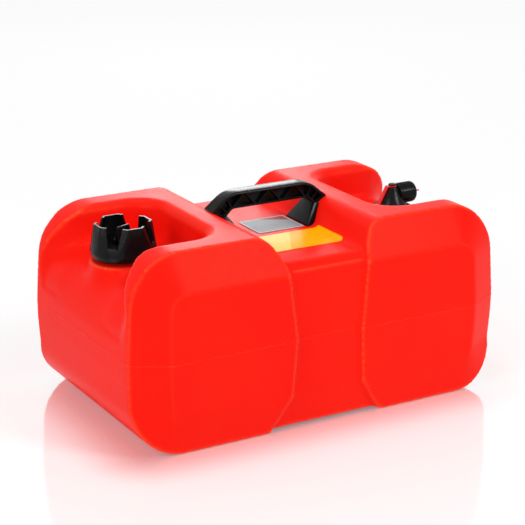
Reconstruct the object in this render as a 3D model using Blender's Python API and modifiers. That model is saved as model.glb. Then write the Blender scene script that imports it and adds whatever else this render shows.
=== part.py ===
"""Portable fuel tank with a carry handle, a vented filler cap and a fuel outlet.

Metres, +Z up. The origin is on the ground under the middle of the tank, X runs along its length.
"""
import math

import bmesh
import bpy
from mathutils import Matrix, Vector

# Gaps and overruns
FIT_GAP = 0.0003
OVERRUN = 0.012

# Tank body, outside
BODY_LENGTH = 0.530
BODY_WIDTH = 0.324
BODY_HEIGHT = 0.249
PARTING_HEIGHT = 0.120
TOP_CORNER_RADIUS = 0.065
BOTTOM_CORNER_RADIUS = 0.060
PANEL_DEPTH = 0.026
PANEL_INSET = 0.0456
EDGE_ROUND = 0.006
PANEL_LOW_DEPTH = 0.004
DRAFT_SHARE = 0.044
PARTING_BEAD = 0.001
PARTING_BEAD_HALF = 0.0015
WALL = 0.004
CORNER_STEPS = 6
EDGE_STEPS = 2
ROUND_PROFILE_SHARE = 0.5

# Waist band round the middle
WAIST_RECESS = 0.005
WAIST_GROUND_GAP = 0.0035
WAIST_LOW_LEAN = 0.004
WAIST_FOOT_HALF = 0.080
WAIST_LOW_HALF = 0.050
WAIST_LOW_HEIGHT = 0.046
WAIST_MIDDLE_HALF = 0.0455
WAIST_TOP_INSET = 0.037
WAIST_TOP_DROP = 0.043
WAIST_TOP_CHAMFER = 0.012

# Valley across the top, for the hand
VALLEY_DEPTH = 0.0335
VALLEY_TOP_HALF = 0.092
VALLEY_WALL_ANGLE = math.radians(60)
VALLEY_FOOT_RADIUS = 0.012
VALLEY_TOP_RADIUS = 0.028

# Pockets in both ends; rises below are counted from their floor
POCKET_DEPTH = 0.049
RIDGE_WIDTH = 0.029
POCKET_HALF_WIDTH = 0.091
POCKET_PLAN_RADIUS = 0.040
POCKET_FLARE_LENGTH = 0.043
POCKET_FLARE = 0.019
POCKET_FOOT_FILLET = 0.014
POCKET_LIP_ROUND = 0.012
POCKET_END_RADIUS = 0.055
POCKET_ROUND_STEPS = 3
POCKET_ROUND_START = math.radians(10)
END_RECESS = 0.003
END_RECESS_DROP = 0.062
END_RECESS_SPREAD = 0.021
END_RECESS_STEP = 0.001

# Filler neck and its cap
CAP_SHIFT = 0.010
CAP_BOSS_HEIGHT = 0.005
NECK_BOSS_RADIUS = 0.044
NECK_BOSS_FOOT = 0.028
NECK_BORE_RADIUS = 0.0225
NECK_RADIUS = 0.0265
FILLER_NECK_RISE = 0.0182
THREAD_PITCH = 0.006
THREAD_DEPTH = 0.0019
THREAD_ROOT_WIDTH = 0.0022
THREAD_CREST_WIDTH = 0.0010
THREAD_CLEARANCE = 0.0008
THREAD_TURNS = 1.4
THREAD_FADE_SHARE = 0.25
THREAD_END_SHARE = 0.1
THREAD_STEPS = 8
CAP_SKIRT_RISE = 0.0085
CAP_DECK_THICKNESS = 0.0026
CAP_RIM_RISE = 0.0520
CAP_BASE_RADIUS = 0.0415
CAP_FOOT_RADIUS = 0.0355
CAP_WAIST_RISE = 0.0170
CAP_RIM_RADIUS = 0.0365
CAP_RIM_THICKNESS = 0.0026
CAP_SLOT_FOOT_WIDTH = 0.0136
CAP_SLOT_RIM_WIDTH = 0.0209
CAP_SLOT_RISE = 0.0268
CAP_SLOTS = 4
CAP_NARROW_HALF_ANGLE = math.radians(15)
CAP_LOOP_POINTS = 48
INSERT_WALL = 0.0038
INSERT_PLATE = 0.0024
INSERT_THREAD_TURNS = 1.0
GASKET_THICKNESS = 0.0020

# Vent screw in the cap
VENT_STEM_RADIUS = 0.0042
VENT_STEM_RISE = 0.0150
VENT_GROOVE_RISE = 0.0158
VENT_GROOVE_DEPTH = 0.0011
VENT_CLIP_THICKNESS = 0.0010
VENT_CLIP_MOUTH_SHARE = 0.80
VENT_CLIP_RADIUS = 0.0075
VENT_WASHER_THICKNESS = 0.0018
VENT_WASHER_RADIUS = 0.0085
VENT_KNOB_RADIUS = 0.0125
VENT_KNOB_DISC = 0.0040
VENT_WING_RISE = 0.0475
VENT_WING_LENGTH = 0.0240
VENT_WING_THICKNESS = 0.0050
VENT_WING_ROUND = 0.0012
VENT_WING_TURN = math.radians(20)

# Fuel pickup and its outlet
PICKUP_SHIFT = 0.002
PICKUP_BOSS_HEIGHT = 0.0025
PICKUP_NECK_RISE = 0.0095
PICKUP_THREAD_TURNS = 0.5
PICKUP_GASKET_THICKNESS = 0.0017
PICKUP_FLANGE_THICKNESS = 0.0022
RING_NUT_RADIUS = 0.0335
RING_NUT_TOP_RADIUS = 0.0250
RING_NUT_RISE = 0.0045
RING_NUT_STEP = 0.0030
RING_NUT_LIP = 0.0025
RING_NUT_THREAD_TURNS = 0.3
RING_NUT_GRIPS = 12
RING_NUT_GRIP_RADIUS = 0.0016
CONE_FOOT_RADIUS = 0.0198
CONE_SHOULDER_RISE = 0.0195
CONE_TOP_RADIUS = 0.0072
CONE_TOP_RISE = 0.0425
BUTTON_NECK_RADIUS = 0.0034
BUTTON_RADIUS = 0.0050
BUTTON_RISE = 0.0446
CROWN_RISE = 0.0464
STEM_RADIUS = 0.0080
STEM_RISE = 0.0030
STEM_SOCKET_RISE = 0.0090
OUTLET_RISE = 0.0318
OUTLET_BOSS_RADIUS = 0.0104
OUTLET_BOSS_LENGTH = 0.0170
FUEL_BORE_RADIUS = 0.0024
VALVE_CHAMBER_REACH = 0.0045
VALVE_CHAMBER_RADIUS = 0.0044
VALVE_BALL_RADIUS = 0.0034
SPRING_WIRE_RADIUS = 0.00035
SPRING_TURNS = 3
SPRING_TURN_POINTS = 10
NIPPLE_SPIGOT = 0.0020
NIPPLE_SPIGOT_RADIUS = 0.0046
NIPPLE_FLANGE_RADIUS = 0.0098
NIPPLE_FLANGE_THICKNESS = 0.0018
NIPPLE_BARB_RADIUS = 0.0040
NIPPLE_BARB_STEP = 0.0007
NIPPLE_BARBS = 3
NIPPLE_BARB_PITCH = 0.0026
NIPPLE_BORE_RADIUS = 0.0020
SLEEVE_RADIUS = 0.0140
SLEEVE_BORE_RADIUS = 0.0107
SLEEVE_START_REACH = 0.0062
SLEEVE_END_REACH = 0.0330
SLEEVE_LIP_THICKNESS = 0.0016
SLEEVE_END_ROUND = 0.0045
SLEEVE_END_STEPS = 4
SLEEVE_MOUTH_RADIUS = 0.0072
SLEEVE_MOUTH_WALL = 0.0020
SLEEVE_FLUTES = 24
SLEEVE_FLUTE_RADIUS = 0.0009
SLEEVE_FLUTE_END = 0.0030
SLEEVE_FLUTE_STEPS = 8
PLUG_PIN_RADIUS = 0.0016
PLUG_PIN_REACH = 0.0230
PLUG_HEAD_RADIUS = 0.0067
PLUG_HEAD_THICKNESS = 0.0013
PLUG_TAIL_REACH = 0.0435
PLUG_TAIL_WIDTH = 0.0038
PLUG_TAIL_THICKNESS = 0.0022
STRAP_WIDTH = 0.0062
STRAP_THICKNESS = 0.0018
STRAP_RING_RADIUS = 0.0058
STRAP_TAB_LENGTH = 0.0120

# Pickup tube and strainer
TUBE_RADIUS = 0.0045
TUBE_BORE_RADIUS = 0.0032
TUBE_RISE = 0.0085
TUBE_FOOT = 0.0160
CLAMP_RADIUS = 0.0066
CLAMP_RISE = 0.0015
CLAMP_HEIGHT = 0.0060
STRAINER_RADIUS = 0.0085
STRAINER_WALL = 0.0014
STRAINER_FOOT = 0.0085
STRAINER_HEIGHT = 0.0280
STRAINER_FLOOR = 0.0015
STRAINER_SLOTS = 4
STRAINER_SLOT_WIDTH = 0.0060
STRAINER_SLOT_FOOT = 0.0040
STRAINER_COLLAR = 0.0045
SCREEN_THICKNESS = 0.0007

# Carry handle
HANDLE_RISE = 0.0550
GRIP_HEIGHT = 0.0205
HANDLE_HALF_DEPTH = 0.0110
GRIP_TOP_INSET = 0.0420
GRIP_SHOULDER_INSET = 0.0280
GRIP_SHOULDER_DROP = 0.0040
GRIP_OPENING_INSET = 0.0370
LEG_OUTER_INSET = 0.0080
LEG_INNER_INSET = 0.0270
LEG_INNER_RISE = 0.0245
FOOT_INNER_INSET = 0.0455
FOOT_INNER_RISE = 0.0025
FOOT_HALF_DEPTH = 0.0270
FOOT_TOP_SHARE = 0.55
HANDLE_RIM = 0.0026
HANDLE_WEB = 0.0030
RIB_WIDTH = 0.0022
RIB_BAYS = 3
LEG_RECESS_SHARE = 0.30
ROOT_DEPTH = 0.0050
ROOT_NECK_WIDTH = 0.0070
ROOT_END_WIDTH = 0.0110
ROOT_LENGTH = 0.0300

# Labels
LABEL_THICKNESS = 0.0004
SILVER_LABEL_START_INSET = 0.0690
SILVER_LABEL_END_INSET = 0.0480
SILVER_LABEL_FRONT = -0.0235
SILVER_LABEL_BACK = 0.0325
YELLOW_LABEL_START_INSET = 0.0440
YELLOW_LABEL_FRONT = -0.1010
YELLOW_LABEL_BACK = -0.0365
YELLOW_LABEL_RISE_SHARE = 0.75

# Round pieces
ROUND_STEPS = 32
SMALL_STEPS = 20

SIDES = ((-1, "left"), (1, "right"))

half_length = BODY_LENGTH / 2
half_width = BODY_WIDTH / 2
waist_top_height = BODY_HEIGHT - WAIST_TOP_DROP
valley_floor = BODY_HEIGHT - VALLEY_DEPTH
pocket_floor = BODY_HEIGHT - POCKET_DEPTH
pocket_inner_x = VALLEY_TOP_HALF + RIDGE_WIDTH
pocket_flare_x = half_length - POCKET_FLARE_LENGTH
pocket_middle = (pocket_inner_x + half_length) / 2
cap_x = -pocket_middle - CAP_SHIFT
pickup_x = pocket_middle + PICKUP_SHIFT
end_recess_low = pocket_floor - END_RECESS_DROP
filler_neck_top = pocket_floor + FILLER_NECK_RISE
cap_skirt_low = pocket_floor + CAP_SKIRT_RISE
cap_waist_height = pocket_floor + CAP_WAIST_RISE
cap_rim_height = pocket_floor + CAP_RIM_RISE
cap_slot_floor = pocket_floor + CAP_SLOT_RISE
vent_stem_foot = pocket_floor + VENT_STEM_RISE
vent_groove_foot = pocket_floor + VENT_GROOVE_RISE
vent_wing_top = pocket_floor + VENT_WING_RISE
pickup_neck_top = pocket_floor + PICKUP_NECK_RISE
ring_nut_foot = pocket_floor + RING_NUT_RISE
cone_shoulder_height = pocket_floor + CONE_SHOULDER_RISE
cone_top_height = pocket_floor + CONE_TOP_RISE
button_foot = pocket_floor + BUTTON_RISE
crown_height = pocket_floor + CROWN_RISE
stem_foot = pocket_floor + STEM_RISE
stem_socket_top = pocket_floor + STEM_SOCKET_RISE
outlet_height = pocket_floor + OUTLET_RISE
tube_top = pocket_floor + TUBE_RISE
clamp_top = pocket_floor + CLAMP_RISE
outlet_boss_end = pickup_x + OUTLET_BOSS_LENGTH
valve_chamber_start = pickup_x + VALVE_CHAMBER_REACH
sleeve_start = pickup_x + SLEEVE_START_REACH
sleeve_end = pickup_x + SLEEVE_END_REACH
plug_pin_start = pickup_x + PLUG_PIN_REACH
plug_tail_end = pickup_x + PLUG_TAIL_REACH
handle_top = valley_floor + HANDLE_RISE
leg_inner_height = valley_floor + LEG_INNER_RISE
foot_inner_height = valley_floor + FOOT_INNER_RISE
waist_top_half = VALLEY_TOP_HALF - WAIST_TOP_INSET
grip_top_half = VALLEY_TOP_HALF - GRIP_TOP_INSET
grip_shoulder_x = VALLEY_TOP_HALF - GRIP_SHOULDER_INSET
grip_opening_half = VALLEY_TOP_HALF - GRIP_OPENING_INSET
leg_outer_x = VALLEY_TOP_HALF - LEG_OUTER_INSET
leg_inner_x = VALLEY_TOP_HALF - LEG_INNER_INSET
foot_inner_x = VALLEY_TOP_HALF - FOOT_INNER_INSET
silver_label_end_x = VALLEY_TOP_HALF - SILVER_LABEL_END_INSET
silver_label_start_x = SILVER_LABEL_START_INSET - VALLEY_TOP_HALF
yellow_label_start_x = YELLOW_LABEL_START_INSET - VALLEY_TOP_HALF
insert_bore_radius = NECK_RADIUS + THREAD_DEPTH + THREAD_CLEARANCE
insert_radius = insert_bore_radius + INSERT_WALL
gasket_low = filler_neck_top + FIT_GAP
plate_low = gasket_low + GASKET_THICKNESS + FIT_GAP
deck_low = plate_low + INSERT_PLATE + FIT_GAP
deck_top = deck_low + CAP_DECK_THICKNESS
washer_low = deck_top + FIT_GAP
knob_low = washer_low + VENT_WASHER_THICKNESS + FIT_GAP
flange_low = pickup_neck_top + PICKUP_GASKET_THICKNESS + 2 * FIT_GAP
flange_top = flange_low + PICKUP_FLANGE_THICKNESS
ring_nut_top = flange_top + FIT_GAP + RING_NUT_LIP
lip_start = outlet_boss_end + FIT_GAP
nipple_flange_start = lip_start + SLEEVE_LIP_THICKNESS + FIT_GAP
nipple_barb_start = nipple_flange_start + NIPPLE_FLANGE_THICKNESS
ball_seat = math.sqrt(VALVE_BALL_RADIUS ** 2 - FUEL_BORE_RADIUS ** 2)
ball_x = valve_chamber_start + ball_seat + FIT_GAP
leg_tip_height = BODY_HEIGHT - VALLEY_TOP_RADIUS + math.sqrt(
    (VALLEY_TOP_RADIUS + FIT_GAP) ** 2 - (VALLEY_TOP_HALF - leg_outer_x) ** 2)

for leftover in list(bpy.data.objects):
    bpy.data.objects.remove(leftover, do_unlink=True)

parts = bpy.data.collections.new("portable_fuel_tank")
cutters = bpy.data.collections.new("cutters")
bpy.context.scene.collection.children.link(parts)
bpy.context.scene.collection.children.link(cutters)


def finish(name, colour, roughness, metallic=0.0):
    """A plain coloured material."""
    made = bpy.data.materials.new(name)
    made.use_nodes = True
    shader = made.node_tree.nodes["Principled BSDF"]
    shader.inputs["Base Color"].default_value = (*colour, 1.0)
    shader.inputs["Roughness"].default_value = roughness
    shader.inputs["Metallic"].default_value = metallic
    made.diffuse_color = (*colour, 1.0)
    return made


red_plastic = finish("red_plastic", (0.80, 0.010, 0.008), 0.32)
black_plastic = finish("black_plastic", (0.012, 0.012, 0.013), 0.30)
black_rubber = finish("black_rubber", (0.016, 0.016, 0.016), 0.75)
red_strap = finish("red_strap", (0.62, 0.010, 0.020), 0.22)
brass = finish("brass", (0.72, 0.50, 0.20), 0.30, 1.0)
steel = finish("steel", (0.62, 0.63, 0.64), 0.28, 1.0)
white_nylon = finish("white_nylon", (0.78, 0.77, 0.73), 0.45)
silver_film = finish("silver_film", (0.55, 0.60, 0.62), 0.30, 0.4)
yellow_film = finish("yellow_film", (0.95, 0.62, 0.01), 0.35)


def solid(name, bm, look=None):
    """Turns a bmesh into an object: a part when it has a finish, a cutter when it has none."""
    bmesh.ops.recalc_face_normals(bm, faces=bm.faces)
    mesh = bpy.data.meshes.new(name)
    bm.to_mesh(mesh)
    bm.free()
    made = bpy.data.objects.new(name, mesh)
    return dress(made, look)


def dress(made, look):
    """Puts an object into its collection and gives it its finish."""
    if look is None:
        cutters.objects.link(made)
        made.hide_render = True
        made.display_type = "WIRE"
        return made
    parts.objects.link(made)
    made.data.materials.append(look)
    made.data.shade_smooth()
    made.data.set_sharp_from_angle(angle=math.radians(35))
    return made


def loft(name, loops, look=None):
    """A closed solid through loops that all have the same number of points."""
    bm = bmesh.new()
    rings = [[bm.verts.new(point) for point in loop] for loop in loops]
    count = len(loops[0])
    for low, high in zip(rings, rings[1:]):
        for i in range(count):
            j = (i + 1) % count
            bm.faces.new((low[i], low[j], high[j], high[i]))
    bm.faces.new(list(reversed(rings[0])))
    bm.faces.new(rings[-1])
    if len(loops) > 2:
        bmesh.ops.triangulate(bm, faces=bm.faces)
    return solid(name, bm, look)


def prism_along_y(name, outline, y_low, y_high, look=None):
    """An outline of (x, z) points, pulled out between two y values."""
    return loft(name, [[(x, y, z) for x, z in outline] for y in (y_low, y_high)], look)


def block(name, low, high, look=None):
    """A box between two corners."""
    bm = bmesh.new()
    bmesh.ops.create_cube(bm, size=1)
    low, high = Vector(low), Vector(high)
    size = high - low
    bmesh.ops.transform(bm, matrix=Matrix.Diagonal((*size, 1)), verts=bm.verts)
    bmesh.ops.translate(bm, vec=(low + high) / 2, verts=bm.verts)
    return solid(name, bm, look)


def turned(name, profile, steps, look=None, closed=True):
    """A profile of (radius, height) points turned about Z, run down its outer side."""
    mesh = bpy.data.meshes.new(name)
    count = len(profile)
    edges = [(i, (i + 1) % count) for i in range(count if closed else count - 1)]
    mesh.from_pydata([(radius, 0, height) for radius, height in profile], edges, [])
    made = bpy.data.objects.new(name, mesh)
    screw = made.modifiers.new("turn", "SCREW")
    screw.angle = math.tau
    screw.steps = steps
    screw.render_steps = steps
    screw.use_merge_vertices = True
    screw.merge_threshold = 0.00001
    screw.use_smooth_shade = True
    return dress(made, look)


def ring_profile(inner, outer, low, high):
    """The rectangle that turns into a plain ring."""
    return [(outer, high), (outer, low), (inner, low), (inner, high)]


def rod_profile(radius, low, high):
    """The line that turns into a plain rod."""
    return [(0, high), (radius, high), (radius, low), (0, low)]


def rod(name, radius, low, high, steps=ROUND_STEPS, look=None):
    return turned(name, rod_profile(radius, low, high), steps, look, closed=False)


def stand(made, x, z=0.0):
    """Moves a turned piece to a vertical axis."""
    made.location = (x, 0, z)
    return made


def lay(made, z):
    """Turns a piece's own axis from Z to the world's X, at a height."""
    made.rotation_euler = (0, math.pi / 2, 0)
    made.location = (0, 0, z)
    return made


def change(made, others, operation, solver):
    """Cuts or joins other objects by Boolean modifiers."""
    for other in others:
        boolean = made.modifiers.new(other.name, "BOOLEAN")
        boolean.operation = operation
        boolean.solver = solver
        boolean.object = other
    return made


def cut(made, *others, solver="EXACT"):
    return change(made, others, "DIFFERENCE", solver)


def join(made, *others, solver="EXACT"):
    return change(made, others, "UNION", solver)


def arc(centre, radius, start, end, steps):
    """Points of an arc in a plane, its angles in radians."""
    angles = [start + (end - start) * i / steps for i in range(steps + 1)]
    return [(centre[0] + radius * math.cos(a), centre[1] + radius * math.sin(a)) for a in angles]


def mirrored(half):
    """Closes an outline whose right half runs from bottom to top."""
    return half + [(-x, z) for x, z in reversed(half)]


# Tank body

def draft(bm, bead):
    """Leans the sides in, away from the parting line, as the mould needs, and raises the bead there."""
    heights = (PARTING_HEIGHT - PARTING_BEAD_HALF, PARTING_HEIGHT, PARTING_HEIGHT + PARTING_BEAD_HALF)
    for height in heights if bead else (PARTING_HEIGHT,):
        geometry = list(bm.verts) + list(bm.edges) + list(bm.faces)
        bmesh.ops.bisect_plane(bm, geom=geometry, plane_co=(0, 0, height), plane_no=(0, 0, 1))
    for vert in bm.verts:
        from_parting = abs(vert.co.z - PARTING_HEIGHT)
        lean = DRAFT_SHARE * from_parting
        if bead and from_parting < PARTING_BEAD_HALF / 2:
            lean = -PARTING_BEAD
        vert.co.x *= 1 - lean / half_length
        vert.co.y *= 1 - lean / half_width
    bmesh.ops.triangulate(bm, faces=bm.faces)


def body_block(name, skin):
    """The whole body as one rounded block with raised front and back panels."""
    slope = PANEL_DEPTH / PANEL_INSET
    panel_y = half_width - skin
    ring_y = half_width - PANEL_DEPTH + skin * (slope - math.hypot(1, slope))
    low, high = skin, BODY_HEIGHT - skin
    bm = bmesh.new()
    bmesh.ops.create_cube(bm, size=1)
    size = (BODY_LENGTH - 2 * skin, 2 * ring_y, high - low)
    bmesh.ops.transform(bm, matrix=Matrix.Diagonal((*size, 1)), verts=bm.verts)
    bmesh.ops.translate(bm, vec=(0, 0, (low + high) / 2), verts=bm.verts)
    for height, radius in ((high, TOP_CORNER_RADIUS), (low, BOTTOM_CORNER_RADIUS)):
        corners = [e for e in bm.edges if all(abs(v.co.z - height) < FIT_GAP for v in e.verts)
                   and abs(e.verts[0].co.y - e.verts[1].co.y) > ring_y]
        bmesh.ops.bevel(bm, geom=corners, offset=radius - skin, segments=CORNER_STEPS,
                        profile=ROUND_PROFILE_SHARE, affect="EDGES")
    ends = [f for f in bm.faces if abs(f.normal.y) > 1 - FIT_GAP]
    inset = (panel_y - ring_y) / slope
    bmesh.ops.inset_individual(bm, faces=ends, thickness=inset, depth=panel_y - ring_y, use_even_offset=True)
    rims = [e for e in bm.edges if is_rim(e, ring_y) or is_rim(e, panel_y)]
    for vert in bm.verts:
        if abs(abs(vert.co.y) - ring_y) < FIT_GAP and vert.co.z < BOTTOM_CORNER_RADIUS:
            low_share = (BOTTOM_CORNER_RADIUS - vert.co.z) / (BOTTOM_CORNER_RADIUS - low)
            spread = (panel_y - PANEL_LOW_DEPTH - ring_y) * low_share
            vert.co.y = math.copysign(ring_y + spread, vert.co.y)
    if skin == 0:
        bmesh.ops.bevel(bm, geom=rims, offset=EDGE_ROUND, segments=EDGE_STEPS,
                        profile=ROUND_PROFILE_SHARE, affect="EDGES")
    draft(bm, skin == 0)
    return solid(name, bm)


def is_rim(edge, y):
    """True for an edge that lies in one of the two planes at plus and minus y."""
    return all(abs(abs(v.co.y) - y) < FIT_GAP for v in edge.verts) and \
        abs(edge.verts[0].co.y - edge.verts[1].co.y) < FIT_GAP


def valley_curve(gap, steps):
    """The valley's right side from its floor to the lobe's top, moved by a gap into the valley."""
    angle = VALLEY_WALL_ANGLE
    top = (VALLEY_TOP_HALF, BODY_HEIGHT - VALLEY_TOP_RADIUS)
    rise = BODY_HEIGHT - valley_floor
    bends = (VALLEY_FOOT_RADIUS + VALLEY_TOP_RADIUS) * (1 - math.cos(angle))
    run = (rise - bends) / math.tan(angle)
    foot_x = VALLEY_TOP_HALF - (VALLEY_FOOT_RADIUS + VALLEY_TOP_RADIUS) * math.sin(angle) - run
    foot = (foot_x, valley_floor + VALLEY_FOOT_RADIUS)
    low = arc(foot, VALLEY_FOOT_RADIUS - gap, -math.pi / 2, angle - math.pi / 2, steps)
    high = arc(top, VALLEY_TOP_RADIUS + gap, math.pi / 2 + angle, math.pi / 2, steps)
    return low + high


def waist_slab(name, skin):
    """All that is cut away between the lobes, before the waist is put back."""
    curve = valley_curve(-skin, CORNER_STEPS)
    wall = curve[CORNER_STEPS:]
    low = [(WAIST_FOOT_HALF + skin, -OVERRUN), (WAIST_FOOT_HALF + skin, 0),
           (WAIST_LOW_HALF + skin, WAIST_LOW_HEIGHT), (WAIST_MIDDLE_HALF + skin, PARTING_HEIGHT),
           (waist_top_half + skin, waist_top_height)]
    top = [(wall[-1][0], BODY_HEIGHT + FIT_GAP), (wall[-1][0], BODY_HEIGHT + OVERRUN)]
    reach = half_width + OVERRUN
    return prism_along_y(name, mirrored(low + wall[:-1] + top), -reach, reach)


def waist_block(name, skin):
    """The body between the lobes: a recessed band with the valley's floor on top."""
    side = half_width - WAIST_RECESS - skin
    top = valley_floor - skin
    chamfer_y = side - WAIST_TOP_CHAMFER
    half = [(side - WAIST_LOW_LEAN, WAIST_GROUND_GAP + skin), (side, WAIST_LOW_HEIGHT),
            (side, waist_top_height - skin), (chamfer_y, top)]
    outline = half + [(-y, z) for y, z in reversed(half)]
    reach = VALLEY_TOP_HALF + OVERRUN
    bm = bmesh.new()
    rings = [[bm.verts.new((x, y, z)) for y, z in outline] for x in (-reach, reach)]
    for ring in rings:
        bm.faces.new(ring)
    for i in range(len(outline)):
        j = (i + 1) % len(outline)
        bm.faces.new((rings[0][i], rings[0][j], rings[1][j], rings[1][i]))
    bmesh.ops.recalc_face_normals(bm, faces=bm.faces)
    draft(bm, skin == 0)
    made = solid(name, bm)
    curve = valley_curve(-skin, CORNER_STEPS)[:CORNER_STEPS + 1]
    under = curve[0][1] - OVERRUN
    beyond = VALLEY_TOP_HALF - skin
    fillet = curve + [(beyond, curve[-1][1]), (beyond, under), (curve[0][0], under)]
    reach_y = chamfer_y - EDGE_ROUND
    for sign, word in SIDES:
        outline = [(sign * x, z) for x, z in fillet]
        join(made, prism_along_y(f"{name}_fillet_{word}", outline, -reach_y, reach_y))
    return made


def flank(x, height):
    """Half the width between a pocket's side walls, which part towards the end and below the floor."""
    out_share = max(0, (x - pocket_flare_x) / POCKET_FLARE_LENGTH)
    low_share = max(0, (pocket_floor - height) / END_RECESS_DROP)
    return POCKET_HALF_WIDTH + POCKET_FLARE * out_share ** 2 + END_RECESS_SPREAD * low_share


def pocket_plan(grow, side):
    """The pocket's outline seen from above, larger by grow all round."""
    centre = (pocket_inner_x + POCKET_PLAN_RADIUS, POCKET_HALF_WIDTH - POCKET_PLAN_RADIUS)
    corner = arc(centre, POCKET_PLAN_RADIUS + grow, math.pi / 2, math.pi, CORNER_STEPS)
    along = (half_length + 2 * OVERRUN, half_length, (pocket_flare_x + half_length) / 2, pocket_flare_x)
    upper = [(x, flank(x, pocket_floor) + grow) for x in along] + corner
    points = upper + [(x, -y) for x, y in reversed(upper)]
    return [(side * x, y) for x, y in points]


def pocket(name, side, skin):
    """The hollow in one end that the cap or the outlet stands in, open to that end."""
    foot, lip = POCKET_FOOT_FILLET, POCKET_LIP_ROUND
    sweep = math.pi / 2 - POCKET_ROUND_START
    turns = [POCKET_ROUND_START + sweep * i / POCKET_ROUND_STEPS for i in range(POCKET_ROUND_STEPS + 1)]
    levels = [(pocket_floor + foot * (1 - math.cos(turn)), -foot * (1 - math.sin(turn))) for turn in turns]
    levels[0] = (pocket_floor, levels[0][1])
    levels += [(BODY_HEIGHT - lip * (1 - math.sin(turn)), lip * (1 - math.cos(turn))) for turn in turns]
    levels.append((BODY_HEIGHT + OVERRUN, lip))
    loops = []
    for height, grow in levels:
        drop = skin if height < BODY_HEIGHT else 0
        loops.append([(x, y, height - drop) for x, y in pocket_plan(grow + skin, side)])
    return loft(name, loops)


def end_section(origin, out, radius, skin):
    """The channel's section across the rolled floor: flat, with a fillet at each side and walls above."""
    fillet = POCKET_FOOT_FILLET + skin
    half = []
    for i in range(POCKET_ROUND_STEPS + 1):
        turn = math.pi / 2 * i / POCKET_ROUND_STEPS
        half.append((radius + fillet * (1 - math.cos(turn)), skin - fillet * (1 - math.sin(turn))))
    half.append((radius + POCKET_DEPTH + OVERRUN, skin))
    points = []
    for reach, aside in half:
        place = origin + out * reach
        points.append((place.x, flank(place.x, place.y) + aside - END_RECESS_STEP, place.y))
    return points + [(x, -y, z) for x, y, z in reversed(points)]


def end_recess(name, side, skin):
    """Where the pocket's floor rolls over into the end face, and the shallow recess below it."""
    centre = Vector((half_length - END_RECESS - POCKET_END_RADIUS, pocket_floor - POCKET_END_RADIUS))
    radius = POCKET_END_RADIUS - skin
    sections = [end_section(centre - Vector((OVERRUN, 0)), Vector((0, 1)), radius, skin)]
    for x, z in arc((0, 0), 1, math.pi / 2, 0, CORNER_STEPS):
        sections.append(end_section(centre, Vector((x, z)), radius, skin))
    foot = Vector((half_length + FIT_GAP - POCKET_END_RADIUS, end_recess_low))
    sections.append(end_section(foot, Vector((1, 0)), radius, skin))
    return loft(name, [[(side * x, y, z) for x, y, z in section] for section in sections])


def boss(name, x, height, skin):
    """The raised ring round a neck, with its foot inside the body."""
    top = pocket_floor + height - skin
    radius = NECK_BOSS_RADIUS - skin
    crown = radius - height
    foot = top - NECK_BOSS_FOOT
    profile = [(0, top), (crown, top), (radius, top - height), (radius, foot), (0, foot)]
    return stand(turned(name, profile, ROUND_STEPS, closed=False), x)


def tank_form(name, skin):
    """The tank's shape, at its outside when skin is zero and at its inside when skin is the wall."""
    waist = cut(waist_slab(f"{name}_slab", skin), waist_block(f"{name}_waist", skin))
    made = cut(body_block(name, skin), waist)
    for sign, word in SIDES:
        cut(made, pocket(f"{name}_{word}_pocket", sign, skin), end_recess(f"{name}_{word}_end", sign, skin))
    join(made, boss(f"{name}_filler_boss", cap_x, CAP_BOSS_HEIGHT, skin))
    join(made, boss(f"{name}_pickup_boss", pickup_x, PICKUP_BOSS_HEIGHT, skin))
    return made


def thread(name, radius, depth, turns, start_height):
    """A raised thread, outwards when depth is positive and inwards when it is negative."""
    steps = max(THREAD_STEPS, round(turns * ROUND_STEPS))
    sink = math.copysign(THREAD_CLEARANCE / 2, depth)
    loops = []
    for i in range(steps + 1):
        angle = math.tau * turns * i / steps
        height = start_height + THREAD_PITCH * angle / math.tau
        fade = min(1, i / steps / THREAD_FADE_SHARE, (1 - i / steps) / THREAD_FADE_SHARE)
        crest = radius + depth * max(fade, THREAD_END_SHARE)
        root, tip = THREAD_ROOT_WIDTH / 2, THREAD_CREST_WIDTH / 2
        section = [(radius - sink, -root), (crest, -tip), (crest, tip), (radius - sink, root)]
        turn = angle + math.pi / ROUND_STEPS
        across = Vector((math.cos(turn), math.sin(turn), 0))
        loops.append([tuple(across * r + Vector((0, 0, height + z))) for r, z in section])
    return loft(name, loops)


def neck(name, x, top, turns):
    """A threaded neck that stands on its boss."""
    tube = rod(f"{name}_tube", NECK_RADIUS, pocket_floor - WALL / 2, top)
    start = top - THREAD_ROOT_WIDTH - THREAD_PITCH * turns
    ridge = thread(f"{name}_thread", NECK_RADIUS, THREAD_DEPTH, turns, start)
    return join(stand(tube, x), stand(ridge, x))


def handle_root(name, sign, grow):
    """The dovetail under a handle's foot that the tank's wall closes on."""
    curve = valley_curve(0.0, CORNER_STEPS)
    low, high = Vector(curve[CORNER_STEPS]), Vector(curve[CORNER_STEPS + 1])
    middle = (low + high) / 2
    along = (high - low).normalized()
    inwards = Vector((along.y, -along.x))
    neck_half, end_half = ROOT_NECK_WIDTH / 2 + grow, ROOT_END_WIDTH / 2 + grow
    outside = middle - inwards * (2 * FIT_GAP + (0 if grow else ROOT_DEPTH / 2))
    inside = middle + inwards * (ROOT_DEPTH + grow)
    points = [outside - along * neck_half, outside + along * neck_half, middle + along * neck_half,
              inside + along * end_half, inside - along * end_half, middle - along * neck_half]
    half = ROOT_LENGTH / 2 + grow
    return prism_along_y(name, [(sign * p.x, p.y) for p in points], -half, half)


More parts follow.
